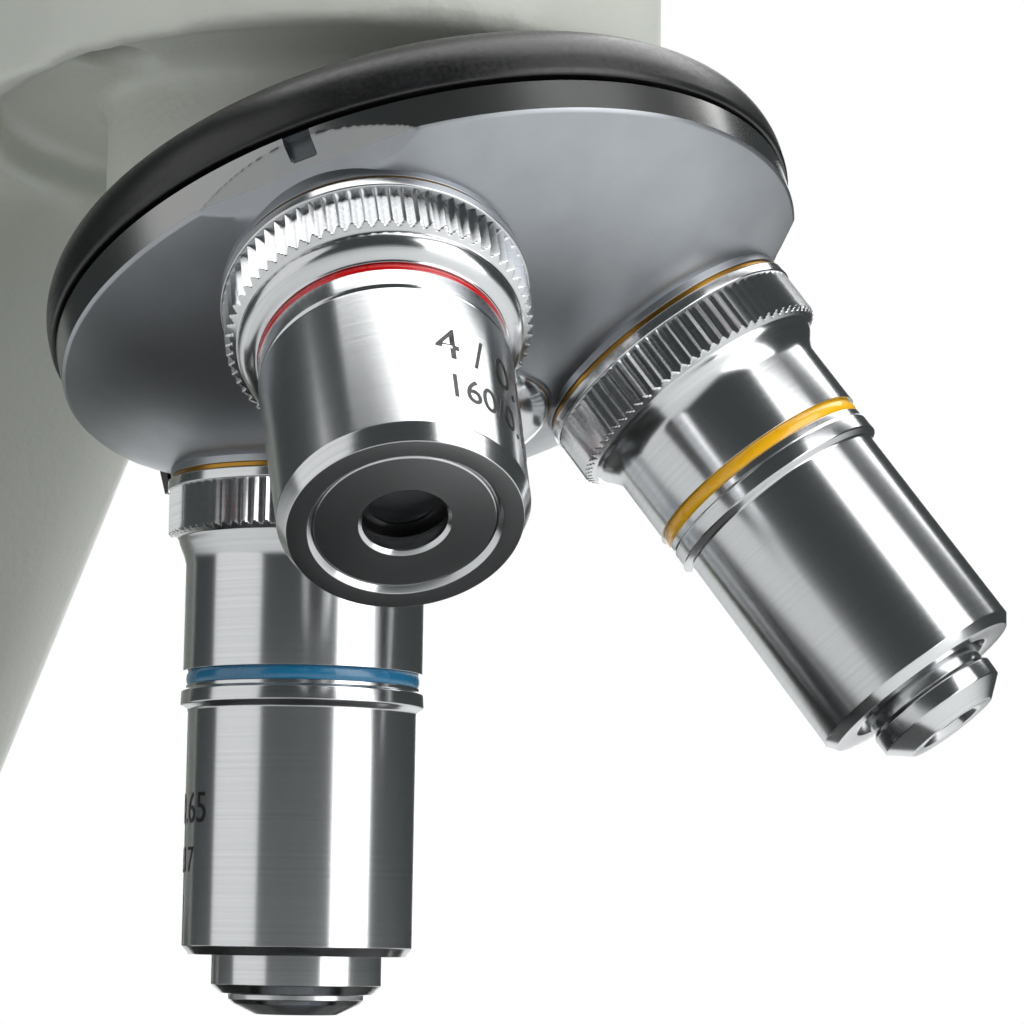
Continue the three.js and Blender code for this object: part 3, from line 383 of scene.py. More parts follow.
def mesh_of(name: str, shells: list[Shell]) -> bpy.types.Mesh:
    """One mesh in metres from several skins, with the lay attribute and the Turning map."""
    points, lay, faces, uv, start = [], [], [], [], 0
    for s in shells:
        points.append(s.points * MM)
        lay.append(s.lay)
        faces += (s.quads + start).tolist() + (s.fans + start).tolist()
        uv += [s.quad_uv.reshape(-1, 2), s.fan_uv.reshape(-1, 2)]
        start += len(s.points)
    mesh = bpy.data.meshes.new(name)
    mesh.from_pydata(np.concatenate(points).tolist(), [], faces)
    layer = mesh.uv_layers.new(name=TURNING)
    layer.data.foreach_set("uv", np.concatenate(uv).astype(np.float32).ravel())
    marks = mesh.attributes.new(LAY, "FLOAT_VECTOR", "POINT")
    marks.data.foreach_set("vector", np.concatenate(lay).astype(np.float32).ravel())
    return mesh


def smooth(mesh: bpy.types.Mesh, degrees: float = 32) -> bpy.types.Mesh:
    """Smooth shading, with edges sharper than an angle kept crisp."""
    mesh.shade_smooth()
    mesh.set_sharp_from_angle(angle=math.radians(degrees))
    return mesh


def worked(mesh: bpy.types.Mesh, steps: list[tuple[str, dict]]) -> bpy.types.Mesh:
    """The mesh after a list of modifiers, each given as its kind and its settings."""
    thing = bpy.data.objects.new("work", mesh)
    bpy.context.scene.collection.objects.link(thing)
    for kind, settings in steps:
        modifier = thing.modifiers.new(kind, kind)
        for key, value in settings.items():
            setattr(modifier, key, value)
    shown = thing.evaluated_get(bpy.context.evaluated_depsgraph_get())
    made = bpy.data.meshes.new_from_object(shown)
    bpy.data.objects.remove(thing)
    return made


def joined(
    first: Shell | bpy.types.Mesh, added: list[Shell], cuts: list[Shell]
) -> bpy.types.Mesh:
    """One solid from a first skin or mesh, with skins added to it and then others cut from it."""
    mesh = mesh_of("solid", [first]) if isinstance(first, Shell) else first
    for operation, shells in (("UNION", added), ("DIFFERENCE", cuts)):
        for shell in shells:
            tool = bpy.data.objects.new("tool", mesh_of("tool", [shell]))
            bpy.context.scene.collection.objects.link(tool)
            step = {"operation": operation, "object": tool, "solver": "MANIFOLD"}
            mesh = worked(mesh, [("BOOLEAN", step)])
            bpy.data.objects.remove(tool)
    return mesh


def cast(mesh: bpy.types.Mesh, voxel: float, rounds: int) -> bpy.types.Mesh:
    """Soft edges and fillets of a sand casting: rebuilt on a fine lattice, then smoothed.

    Args:
        mesh: the sharp solid.
        voxel: lattice spacing in millimetres.
        rounds: smoothing rounds; each moves a point half way to its neighbours' middle.

    Returns:
        The softened mesh.
    """
    return worked(mesh, [
        ("REMESH", {"mode": "VOXEL", "voxel_size": voxel * MM, "use_smooth_shade": True}),
        ("SMOOTH", {"factor": 0.5, "iterations": rounds}),
    ])


# ------------------------------------------------------------------ finishes


def linear(code: str) -> tuple[float, float, float, float]:
    """sRGB hex to linear: c / 12.92 under 0.04045, and ((c + 0.055) / 1.055) ** 2.4 above."""
    levels = [int(code[k:k + 2], 16) / 255 for k in (1, 3, 5)]
    r, g, b = (c / 12.92 if c < 0.04045 else ((c + 0.055) / 1.055) ** 2.4 for c in levels)
    return (r, g, b, 1.0)


def add(tree: bpy.types.NodeTree, kind: str, inputs: dict | None = None, **settings) -> bpy.types.Node:
    """Adds one node with its settings and its inputs; an input that is a socket is linked."""
    made = tree.nodes.new(kind)
    for key, value in settings.items():
        setattr(made, key, value)
    for key, value in (inputs or {}).items():
        if isinstance(value, bpy.types.NodeSocket):
            tree.links.new(value, made.inputs[key])
        else:
            made.inputs[key].default_value = value
    return made


@dataclass(frozen=True)
class Finish:
    """What every finish has: its name, its colour and how rough it is."""

    title: str
    colour: str
    roughness: float

    def material(self) -> bpy.types.Material:
        """The finish's material, made once."""
        found = bpy.data.materials.get(self.title)
        if found:
            return found
        made = bpy.data.materials.new(self.title)
        made.use_nodes = True
        tree = made.node_tree
        shader = tree.nodes["Principled BSDF"]
        shader.inputs["Base Color"].default_value = linear(self.colour)
        shader.inputs["Roughness"].default_value = self.roughness
        made.diffuse_color = linear(self.colour)
        self.dress(tree, shader)
        return made

    def dress(self, tree: bpy.types.NodeTree, shader: bpy.types.Node) -> None:
        """Adds the finish's own nodes."""

    def tinted(
        self, tree: bpy.types.NodeTree, shader: bpy.types.Node, level: bpy.types.NodeSocket,
        other: str,
    ) -> None:
        """Mixes the finish's colour with a second one by a 0 to 1 level."""
        tint = add(tree, "ShaderNodeMix", {
            "Factor": level, "A": linear(self.colour), "B": linear(other)}, data_type="RGBA")
        tree.links.new(tint.outputs["Result"], shader.inputs["Base Color"])

    def raised(
        self, tree: bpy.types.NodeTree, shader: bpy.types.Node, level: bpy.types.NodeSocket,
        height: float,
    ) -> None:
        """Turns a 0 to 1 level into bumps of so many millimetres."""
        bump = add(tree, "ShaderNodeBump", {
            "Height": level, "Distance": height * MM, "Strength": 1.0})
        tree.links.new(bump.outputs["Normal"], shader.inputs["Normal"])

    def spread(
        self, tree: bpy.types.NodeTree, shader: bpy.types.Node, level: bpy.types.NodeSocket,
        low: float, high: float,
    ) -> None:
        """Lets a 0 to 1 field carry the roughness between two values."""
        ranged = add(tree, "ShaderNodeMapRange", {
            "Value": level, "From Min": 0.3, "From Max": 0.7, "To Min": low, "To Max": high})
        tree.links.new(ranged.outputs["Result"], shader.inputs["Roughness"])


@dataclass(frozen=True)
class CastEnamel(Finish):
    """Stoving enamel sprayed on a sand casting: soft gloss over a fine pebbled skin.

    The pebbles are about grain millimetres across and a few hundredths high, so highlights break
    into fine grain near edges, and the colour drifts very slightly over a few centimetres.
    """

    grain: float = 0.9
    height: float = 0.07
    drift: str = "#c5c9c0"

    def dress(self, tree: bpy.types.NodeTree, shader: bpy.types.Node) -> None:
        """Pebble bump, slow colour drift and matching roughness."""
        place = add(tree, "ShaderNodeTexCoord").outputs["Object"]
        pebble = add(tree, "ShaderNodeTexNoise", {
            "Vector": place, "Scale": 1 / (self.grain * MM), "Detail": 2.0, "Roughness": 0.5})
        coarse = add(tree, "ShaderNodeTexNoise", {
            "Vector": place, "Scale": 1 / (6 * self.grain * MM), "Detail": 2.0})
        both = add(tree, "ShaderNodeMath", {
            0: coarse.outputs["Fac"], 1: 0.8, 2: pebble.outputs["Fac"]}, operation="MULTIPLY_ADD")
        self.raised(tree, shader, both.outputs[0], self.height)
        cloud = add(tree, "ShaderNodeTexNoise", {"Vector": place, "Scale": 28.0, "Detail": 1.0})
        self.tinted(tree, shader, cloud.outputs["Fac"], self.drift)
        self.spread(tree, shader, pebble.outputs["Fac"], self.roughness - 0.04, self.roughness + 0.06)
        shader.inputs["Coat Weight"].default_value = 0.15
        shader.inputs["Coat Roughness"].default_value = 0.25


@dataclass(frozen=True)
class TurnedMetal(Finish):
    """Steel turned on a lathe and plated: fine rings round the piece.

    Rings smear every reflection along the piece and keep it crisp round it, so a barrel shows
    sharp lengthwise bands. The real rings are about 0.05 mm apart and are drawn at line mm.
    """

    line: float = 0.12
    height: float = 0.0003
    anisotropy: float = 0.6
    stain: str = "#c4c6c8"

    def dress(self, tree: bpy.types.NodeTree, shader: bpy.types.Node) -> None:
        """Ring bump, ring tone and the direction of the rings."""
        place = add(tree, "ShaderNodeAttribute", attribute_name=LAY).outputs["Vector"]
        rings = add(tree, "ShaderNodeMapping", {
            "Vector": place, "Scale": (0.005, 0.005, 1 / self.line)})
        noise = add(tree, "ShaderNodeTexNoise", {
            "Vector": rings.outputs[0], "Scale": 1.0, "Detail": 3.0, "Roughness": 0.6})
        self.raised(tree, shader, noise.outputs["Fac"], self.height)
        wide = add(tree, "ShaderNodeMapping", {"Vector": place, "Scale": (0.006, 0.006, 3.5)})
        bands = add(tree, "ShaderNodeTexNoise", {"Vector": wide.outputs[0], "Scale": 1.0, "Detail": 4.0})
        tone = add(tree, "ShaderNodeMapRange", {
            "Value": bands.outputs["Fac"], "From Min": 0.35, "From Max": 0.75})
        self.tinted(tree, shader, tone.outputs["Result"], self.stain)
        self.spread(tree, shader, noise.outputs["Fac"], self.roughness - 0.015, self.roughness + 0.02)
        shader.inputs["Metallic"].default_value = 1.0
        shader.inputs["Anisotropic"].default_value = self.anisotropy
        shader.inputs["Anisotropic Rotation"].default_value = 0.25
        way = add(tree, "ShaderNodeTangent", direction_type="UV_MAP", uv_map=TURNING)
        tree.links.new(way.outputs["Tangent"], shader.inputs["Tangent"])


@dataclass(frozen=True)
class PlainMetal(Finish):
    """Metal ground, blasted or polished with no main direction, under thin plating.

    The skin is grainy at the scale of the blasting or grinding, grain millimetres, and slightly
    cloudy where plating and handling vary.
    """

    grain: float = 0.25
    height: float = 0.002
    stain: str = "#8a8d91"

    def dress(self, tree: bpy.types.NodeTree, shader: bpy.types.Node) -> None:
        """Grain bump, cloudy tone and roughness."""
        place = add(tree, "ShaderNodeTexCoord").outputs["Object"]
        noise = add(tree, "ShaderNodeTexNoise", {
            "Vector": place, "Scale": 1 / (self.grain * MM), "Detail": 2.0})
        self.raised(tree, shader, noise.outputs["Fac"], self.height)
        cloud = add(tree, "ShaderNodeTexNoise", {"Vector": place, "Scale": 90.0, "Detail": 4.0})
        self.tinted(tree, shader, cloud.outputs["Fac"], self.stain)
        self.spread(tree, shader, cloud.outputs["Fac"], self.roughness - 0.03, self.roughness + 0.04)
        shader.inputs["Metallic"].default_value = 1.0


@dataclass(frozen=True)
class Moulded(Finish):
    """Injection-moulded ABS or rubber: dark, dry skin with a fine spark-eroded grain."""

    grain: float = 0.5
    height: float = 0.02
    worn: str = "#1d1d1f"

    def dress(self, tree: bpy.types.NodeTree, shader: bpy.types.Node) -> None:
        """Grain bump, faint wear and roughness."""
        place = add(tree, "ShaderNodeTexCoord").outputs["Object"]
        noise = add(tree, "ShaderNodeTexNoise", {
            "Vector": place, "Scale": 1 / (self.grain * MM), "Detail": 2.0})
        self.raised(tree, shader, noise.outputs["Fac"], self.height)
        rub = add(tree, "ShaderNodeTexNoise", {"Vector": place, "Scale": 160.0, "Detail": 3.0})
        tone = add(tree, "ShaderNodeMapRange", {
            "Value": rub.outputs["Fac"], "From Min": 0.45, "From Max": 0.8})
        self.tinted(tree, shader, tone.outputs["Result"], self.worn)
        self.spread(tree, shader, noise.outputs["Fac"], self.roughness - 0.05, self.roughness + 0.08)


@dataclass(frozen=True)
class SatinLacquer(Moulded):
    """Black stoved lacquer over metal: a smoother skin than plastic, under a thin clear coat."""

    def dress(self, tree: bpy.types.NodeTree, shader: bpy.types.Node) -> None:
        """The grain of the moulded skin, with a coat."""
        super().dress(tree, shader)
        shader.inputs["Coat Weight"].default_value = 0.1
        shader.inputs["Coat Roughness"].default_value = 0.3


@dataclass(frozen=True)
class BandEnamel(Finish):
    """Air-drying enamel run into a turned groove: thick, glossy, with slow ripples."""

    ripple: float = 1.6
    height: float = 0.03

    def dress(self, tree: bpy.types.NodeTree, shader: bpy.types.Node) -> None:
        """Ripples in the paint and a clear gloss."""
        place = add(tree, "ShaderNodeTexCoord").outputs["Object"]
        noise = add(tree, "ShaderNodeTexNoise", {
            "Vector": place, "Scale": 1 / (self.ripple * MM), "Detail": 1.0})
        self.raised(tree, shader, noise.outputs["Fac"], self.height)
        self.spread(tree, shader, noise.outputs["Fac"], self.roughness, self.roughness + 0.08)
        shader.inputs["Coat Weight"].default_value = 0.5
        shader.inputs["Coat Roughness"].default_value = 0.08


@dataclass(frozen=True)
class OpticalGlass(Finish):
    """Polished crown glass with a single blooming layer, which tints what it reflects."""

    clear: float = 0.85
    bloom: str = "#6a5fb0"

    def dress(self, tree: bpy.types.NodeTree, shader: bpy.types.Node) -> None:
        """Clear body, tinted reflection and the faint unevenness of a polished face."""
        place = add(tree, "ShaderNodeTexCoord").outputs["Object"]
        noise = add(tree, "ShaderNodeTexNoise", {"Vector": place, "Scale": 300.0, "Detail": 1.0})
        self.spread(tree, shader, noise.outputs["Fac"], self.roughness, self.roughness + 0.02)
        shader.inputs["Transmission Weight"].default_value = self.clear
        shader.inputs["IOR"].default_value = 1.52
        shader.inputs["Specular Tint"].default_value = linear(self.bloom)


class Paint(Enum):
    """Every finish of the instrument."""

    ENAMEL = CastEnamel("stoving enamel on casting", "#d0d3cb", 0.4)
    LACQUER = SatinLacquer("satin black lacquer", "#050506", 0.34, grain=0.35, height=0.006)
    BARREL = TurnedMetal("turned satin chromium", "#d2d3d4", 0.19)
    COLLAR = TurnedMetal("turned bright steel", "#cdcfd1", 0.16, line=0.25, anisotropy=0.4)
    PLATE = PlainMetal("satin chromium plate", "#b4b8bd", 0.38, grain=0.12, height=0.0015)
    SHAFT = PlainMetal("ground steel", "#a3a29c", 0.2)
    BRASS = PlainMetal("machined brass", "#c08d3c", 0.3, stain="#8f6a2c")
    PLASTIC = Moulded("moulded ABS", "#161618", 0.5)
    RUBBER = Moulded("moulded rubber", "#151515", 0.78, grain=0.8, height=0.03)
    BOARD = Moulded("solder-masked circuit board", "#1f5a3a", 0.45, worn="#2b6e49")
    GLASS = OpticalGlass("polished crown glass", "#eef3f4", 0.02)
    FROSTED = OpticalGlass("frosted lamp glass", "#f2f5f4", 0.35, bloom="#ffffff")
    RED = BandEnamel("red band enamel", "#d40008", 0.22)
    YELLOW = BandEnamel("yellow band enamel", "#ffbe08", 0.25)
    BLUE = BandEnamel("blue band enamel", "#1a6f98", 0.22)


def show(
    name: str, mesh: bpy.types.Mesh, paint: Paint, body: str, slot: str, *nodes: str,
    degrees: float = 32,
) -> bpy.types.Object:
    """Puts a finished mesh in the scene on its body, in place of its frame nodes.

    Args:
        name: the piece's name.
        mesh: its mesh, in metres, in the row frame.
        paint: its finish.
        body: the body that it moves with.
        slot: the record's material slot; not used.
        nodes: the frame's nodes that it stands for.
        degrees: edges sharper than this stay crisp.

    Returns:
        The piece.
    """
    mesh.name = name
    mesh.materials.clear()
    mesh.materials.append(paint.value.material())
    thing = bpy.data.objects.new(name, smooth(mesh, degrees))
    bpy.context.scene.collection.objects.link(thing)
    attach(thing, body)
    if nodes:
        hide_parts(*nodes)
    LOG.info("%s: %d faces", name, len(mesh.polygons))
    return thing


def keep(paint: Paint, *nodes: str) -> None:
    """Gives a finish to frame nodes whose shape is shown as it is."""
    for name in nodes:
        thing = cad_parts[name]
        thing.data.materials.clear()
        thing.data.materials.append(paint.value.material())
        LOG.info("%s kept", name)


# ------------------------------------------------------------------ base


@dataclass
class Base:
    """Base casting with its feet, cover plate, lamp, switch, inlet and brightness knob."""

    half_width: float = 65
    half_depth: float = 103
    corner: float = 30
    low: float = 4
    top: float = 44
    wall: float = 4
    edge: float = 6
    lamp_bore: float = 20
    pedestal_top: float = 58
    foot_x: float = 41
    foot_y: float = 79

    def build(self) -> None:
        """Builds every piece of the base."""
        self.casting()
        self.pedestal()
        self.feet()
        self.lamp()
        self.controls()
        keep(Paint.LACQUER, "base_cover_plate")
        keep(Paint.BOARD, "led_board", "driver_board")

    def casting(self) -> None:
        """Hollow casting: a rounded box less its inside, with the rear panel's wall and openings."""
        outer = slab(self.half_width, self.half_depth, self.corner, self.low, self.top,
                     self.edge, 0.6, arcs=20)
        inside = slab(self.half_width - self.wall, self.half_depth - self.wall,
                      self.corner - self.wall, self.low - 20, self.top - self.wall, 3, 0.5, arcs=12)
        shell = joined(outer, [], [inside, rod(self.lamp_bore, self.top - 10, self.top + 10).moved(UPRIGHT)])
        mesh = joined(shell, [block(-36, 36, 94, 100, 9, 41)], [
            block(-32, 32, 100, 108, 13, 37),
            block(-24.3, -5.7, 83, 108, 18.7, 31.3),
            rod(5.3, -20, 5, 40).moved(Matrix.Translation((16, 103, 25)) @ REARWARDS),
            rod(3.6, 55, 75, 40).moved(Matrix.Translation((0, -3, 24)) @ SIDEWAYS),
        ])
        show("base_shell", mesh, Paint.ENAMEL, "stand", "enamel", "base_casting", degrees=28)

    def pedestal(self) -> None:
        """Round pedestal under the lamp, with a cove where it leaves the base."""
        top = self.pedestal_top
        profile = rounded([
            (self.lamp_bore, self.top), (33, self.top), (33, self.top + 0.3, 0.2),
            (30.6, self.top + 1.2, 1.5), (29.6, self.top + 6, 2.5), (29, top - 1.2, 1.5),
            (27.4, top, 1.2), (self.lamp_bore, top, 0.4), (self.lamp_bore, self.top),
        ])
        mesh = mesh_of("pedestal", [lathe(profile, 128, True).moved(UPRIGHT)])
        show("pedestal", mesh, Paint.ENAMEL, "stand", "enamel", "lamp_pedestal")

    def feet(self) -> None:
        """Four rubber feet, each with three turned grooves round its side."""
        for place, x, y in (("front_left", -1, -1), ("front_right", 1, -1),
                            ("rear_left", -1, 1), ("rear_right", 1, 1)):
            profile = rounded([
                (0, 0), (5.5, 0), (5.8, 0.35, 0.1), (6.2, 0.35, 0.1), (6.5, 0), (8.2, 0, 0.6),
                (9, 1.2, 0.5), (8.75, 2.6, 0.2), (8.4, 2.9, 0.2), (8.65, 3.2, 0.2),
                (8.5, self.low + 0.5), (0, self.low + 0.5),
            ])
            at = Matrix.Translation((x * self.foot_x, y * self.foot_y, 0))
            mesh = mesh_of("foot", [lathe(profile, 72).moved(at)])
            show(f"rubber_foot_{place}", mesh, Paint.RUBBER, "stand", "rubber", f"foot_{place}")

    def lamp(self) -> None:
        """Lamp collar with a milled rim, and the frosted lens in it."""
        top = self.pedestal_top
        collar = rounded([
            (15.5, top - 8), (19.6, top - 8, 0.3), (19.6, top + 0.2, 0.2), (24, top + 0.2, 0.4),
            (24, top + 2.8, 0.3), (23.4, top + 3.4, 0.3), (22.5, top + 6, 0.8), (18.4, top + 6, 0.6),
            (17.4, top + 4.5, 0.3), (17.4, top + 2, 0.2), (15.5, top + 2, 0.2), (15.5, top - 8),
        ])
        milled = Teeth(top + 0.3, top + 2.9, 90, 0.35, 24, 0.3)
        mesh = mesh_of("collar", [lathe(collar, 540, True, milled).moved(UPRIGHT)])
        show("lamp_rim", mesh, Paint.PLASTIC, "stand", "black_plastic", "lamp_collar")
        mesh = mesh_of("lens", [domed(17, top + 2.2, 1.4, 3.0, 16).moved(UPRIGHT)])
        show("lamp_glass", mesh, Paint.FROSTED, "stand", "glass", "lamp_lens")

    def controls(self) -> None:
        """Rocker in its frame, power inlet and fluted brightness knob."""
        keep(Paint.PLASTIC, "switch_frame")
        low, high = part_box("rocker_switch")
        size = (high - low) / (2 * MM)
        middle = (high + low) / (2 * MM)
        t = np.linspace(-1, 1, 25)
        face = 3.6 + 1.0 * t**2
        outline = np.concatenate([
            np.stack([face, 4.0 * t], 1), [[-2.9, 4.0]], [[-2.9, -4.0]]])
        rings = []
        for x, inset in ((-size.x, 0.3), (-size.x + 0.3, 0), (size.x - 0.3, 0), (size.x, 0.3)):
            shrunk = outline * (1 - inset / 4.0)
            rings.append(np.column_stack([np.full(len(outline), x), shrunk]))
        grid = np.stack(rings)
        tip = Matrix.Translation((middle.x, 96, 25)) @ Matrix.Rotation(math.radians(-8), 4, "X")
        mesh = mesh_of("rocker", [skin(grid, np.array([0, 0.4, 12, 12.4])).moved(tip)])
        show("rocker_key", mesh, Paint.PLASTIC, "rocker", "black_plastic", "rocker_switch")

        socket = rounded([
            (0, -12), (4.9, -12, 0.3), (5, 0.1, 0.1), (6.9, 0.1, 0.2), (7, 1.5, 0.4),
            (3.4, 1.55, 0.3), (3.1, 1.2, 0.1), (3.1, -9), (1.1, -9), (1.1, 0.4, 0.3), (0.6, 0.9, 0.3),
            (0, 0.9),
        ])
        at = Matrix.Translation((16, 100, 25)) @ REARWARDS
        mesh = mesh_of("inlet", [lathe(socket, 72).moved(at)])
        show("inlet_socket", mesh, Paint.PLASTIC, "stand", "black_plastic", "power_inlet")

        knob = rounded([
            (0, 51), (3, 51, 0.3), (3, 65.8, 0.1), (9, 65.9, 0.4), (10, 66.9, 0.5), (10, 74.2, 0.6),
            (8.9, 75.4, 0.5), (7.4, 75.4, 0.3), (6.8, 74.9, 0.3), (0, 74.7),
        ])
        flutes = Teeth(66.4, 75.2, 16, 0.8, 10, 0.2, True)
        at = Matrix.Translation((0, -3, 24)) @ SIDEWAYS
        dense = densified(knob, 0.6)
        shells = [lathe(dense, 192, teeth=flutes).moved(at)]
        pointer = slab(2.6, 0.35, 0.3, 74.6, 75.3, 0.1, arcs=3)
        shells.append(pointer.moved(at @ Matrix.Translation((-5.0, 0, 0))))
        mesh = mesh_of("knob", shells)
        show("dimmer_knob", mesh, Paint.PLASTIC, "brightness_control", "black_plastic",
             "brightness_knob")


def densified(profile: np.ndarray, pitch: float) -> np.ndarray:
    """The same profile with every side cut into steps no longer than pitch, by interpolation."""
    out = [profile[:1]]
    for a, b in zip(profile[:-1], profile[1:]):
        count = max(1, math.ceil(float(np.linalg.norm(b - a)) / pitch))
        t = np.arange(1, count + 1)[:, None] / count
        out.append(a + (b - a) * t)
    return np.concatenate(out)


# ------------------------------------------------------------------ arm


@dataclass
class Arm:
    """Arm casting with its head block, focusing hubs and foot, and the head's lock screw."""

    half_width: float = 19
    corner: float = 12
    front_low: float = 78
    back_low: float = 124
    slope: float = 0.65
    head_radius: float = 29.4
    head_low: float = 27.6
    head_low_front: float = 32.2
    head_top: float = 76
    head_rear: float = 50
    recess_radius: float = 27.3
    recess_ceiling: float = 32
    boss_radius: float = 17.65
    ring_top: float = 14.37
    voxel: float = 1.0

    def build(self) -> None:
        """Builds the casting and its screw."""
        mesh = joined(self.column(), [self.head(), self.plinth(), self.hub()],
                      [self.wedge(), self.round(self.recess_radius, 15, self.recess_ceiling)])
        boss = self.round(self.boss_radius, 4, self.recess_ceiling + 3)
        mesh = joined(mesh, [boss], self.cuts())
        show("arm", cast(mesh, self.voxel, 6), Paint.ENAMEL, "stand", "enamel", "arm_casting",
             degrees=180)
        self.lock_screw()

    def round(self, radius: float, low: float, high: float) -> Shell:
        """Cylinder on the optical axis, its heights above the objectives' shoulder."""
        return rod(radius, SHOULDER + low, SHOULDER + high, 128).moved(UPRIGHT)

    def side(self, points: list[tuple[float, float]], steps: int) -> np.ndarray:
        """Front or back edge: straight, a parabola through the bend, and straight again.

        Args:
            points: start, where the bend begins, its corner, where it ends, and the end; each is
                a distance behind the optical axis and a height.
            steps: points along the whole edge, spaced evenly.

        Returns:
            (steps, 2) points.
        """
        start, begin, corner, finish, end = (np.array(p, float) for p in points)
        t = np.linspace(0, 1, 40)[:, None]
        bend = (1 - t) ** 2 * begin + 2 * t * (1 - t) * corner + t**2 * finish
        line = np.concatenate([[start], bend, [end]])
        length = travelled(line)
        at = np.linspace(0, length[-1], steps)
        return np.stack([np.interp(at, length, line[:, k]) for k in (0, 1)], 1)

    def column(self) -> Shell:
        """Column: rounded rectangles between matching points of its front and back edges."""
        under = SHOULDER + self.head_low
        seat = SHOULDER + self.head_top
        low = self.front_low
        bend = under - (low - self.head_radius + 1.4) / self.slope
        steps = 70
        front = self.side([
            (low, 44), (low, bend - 18), (low, bend), (low - 15 * self.slope, bend + 15),
            (self.head_radius - 1.4 - 9 * self.slope, under + 9)], steps)
        back = self.side([
            (self.back_low, 44), (self.back_low, bend + 2), (self.back_low, bend + 28),
            (self.back_low - 17, bend + 52), (self.head_rear - 5, seat - 5)], steps)
        depth = np.linalg.norm(back - front, axis=1)
        along = (back - front) / depth[:, None]
        middle = (back + front) / 2
        grid = []
        for k in range(steps):
            flat = rectangle(self.half_width, depth[k] / 2, self.corner, 8)
            yz = middle[k] + along[k] * flat[:, 1:]
            grid.append(np.column_stack([flat[:, 0], yz]))
        return skin(np.stack(grid), np.linspace(0, 200, steps)).moved(UPRIGHT)

    def head(self) -> Shell:
        """Head block: round in front, round-cornered behind, with both rims softened."""
        t = np.linspace(np.pi, 2 * np.pi, 60)
        nose = np.stack([np.cos(t), np.sin(t)], 1)
        a = np.linspace(0, np.pi / 2, 14)
        rings = []
        under, seat = SHOULDER + self.head_low, SHOULDER + self.head_top
        for inset, z in rims(under, seat, 2.0, 2.0, 5):
            r, c = self.head_radius - inset, 18 - inset
            right = np.stack([r - c + c * np.cos(a), self.head_rear - inset - c + c * np.sin(a)], 1)
            left = np.stack([-right[::-1, 0], right[::-1, 1]], 1)
            flat = np.concatenate([nose * r, right, left])
            rings.append(np.column_stack([flat, np.full(len(flat), z)]))
        return skin(np.stack(rings), np.arange(len(rings)) * 1.0).moved(UPRIGHT)

    def plinth(self) -> Shell:
        """Foot of the arm on the base."""
        at = Matrix.Translation((0, (self.front_low + self.back_low + 7) / 2, 0))
        half = (self.back_low + 7 - self.front_low) / 2
        return slab(30, half, 14, 44, 56, 4, 0.2, 12).moved(UPRIGHT @ at)

    def hub(self) -> Shell:
        """Bearing hubs of the focusing drive, one turned bar right through the column."""
        profile = rounded([(0, -35), (16.5, -35, 0.8), (17, -34, 0.8), (17, 34, 0.8),
                           (16.5, 35, 0.8), (0, 35)])
        return lathe(profile, 128).moved(DRIVE)

    def wedge(self) -> Shell:
        """What is cut from under the head block, so that its underside rises to the front."""
        rise = math.atan2(self.head_low_front - self.head_low, 2 * self.recess_radius)
        at = Matrix.Translation((0, self.recess_radius, SHOULDER + self.head_low))
        return block(-40, 40, -70, 0, -20, 0).moved(
            UPRIGHT @ at @ Matrix.Rotation(-rise, 4, "X"))

    def cuts(self) -> list[Shell]:
        """Room for the nosepiece, light, head, screws, rack, focusing guide and shafts."""
        seat = SHOULDER + self.head_top
        screw = rod(3, SHOULDER + 20, SHOULDER + self.recess_ceiling + 9, 48)
        lock = rod(3.3, 10, 40, 32).moved(SIDEWAYS)
        return [
            rod(37.9, -60, self.ring_top + 0.3, 128).moved(TURRET),
            rod(9, SHOULDER, seat + 5).moved(UPRIGHT),
            lathe(np.array([[0, seat - 8], [21, seat - 8], [20, seat + 1], [0, seat + 1]]),
                  96).moved(UPRIGHT),
            screw.moved(UPRIGHT @ Matrix.Translation((-22.6, -1, 0))),
            lock.moved(UPRIGHT @ Matrix.Translation((0, 0, seat - 4.6))),
            block(-8, 8, 25, 66, 54, 146),
            block(-17.3, 17.3, 25, 45, 50, 116.3),
            rod(4.4, -60, 60, 48).moved(DRIVE),
        ]

    def lock_screw(self) -> None:
        """Knurled screw that holds the turning head."""
        profile = densified(rounded([
            (0, 21.6), (2.6, 21.6), (3, 22.2, 0.3), (3, 30.2, 0.1), (4, 30.4), (6.8, 32.3, 0.6),
            (7.5, 33.4, 0.5), (7.5, 40.4, 0.5), (6.6, 41.4, 0.5), (5, 41.4, 0.2), (4.6, 41.1, 0.2),
            (0, 41.0),
        ]), 0.7)
        teeth = Teeth(33.2, 40.7, 48, 0.45, 7.5, 0.15)
        at = UPRIGHT @ Matrix.Translation((0, 0, SHOULDER + self.head_top - 4.6)) @ SIDEWAYS
        mesh = mesh_of("screw", [lathe(profile, 288, teeth=teeth).moved(at)])
        show("lock_screw_knurled", mesh, Paint.COLLAR, "lock_screw", "steel", "head_lock_screw")


# ------------------------------------------------------------------ focusing and stage


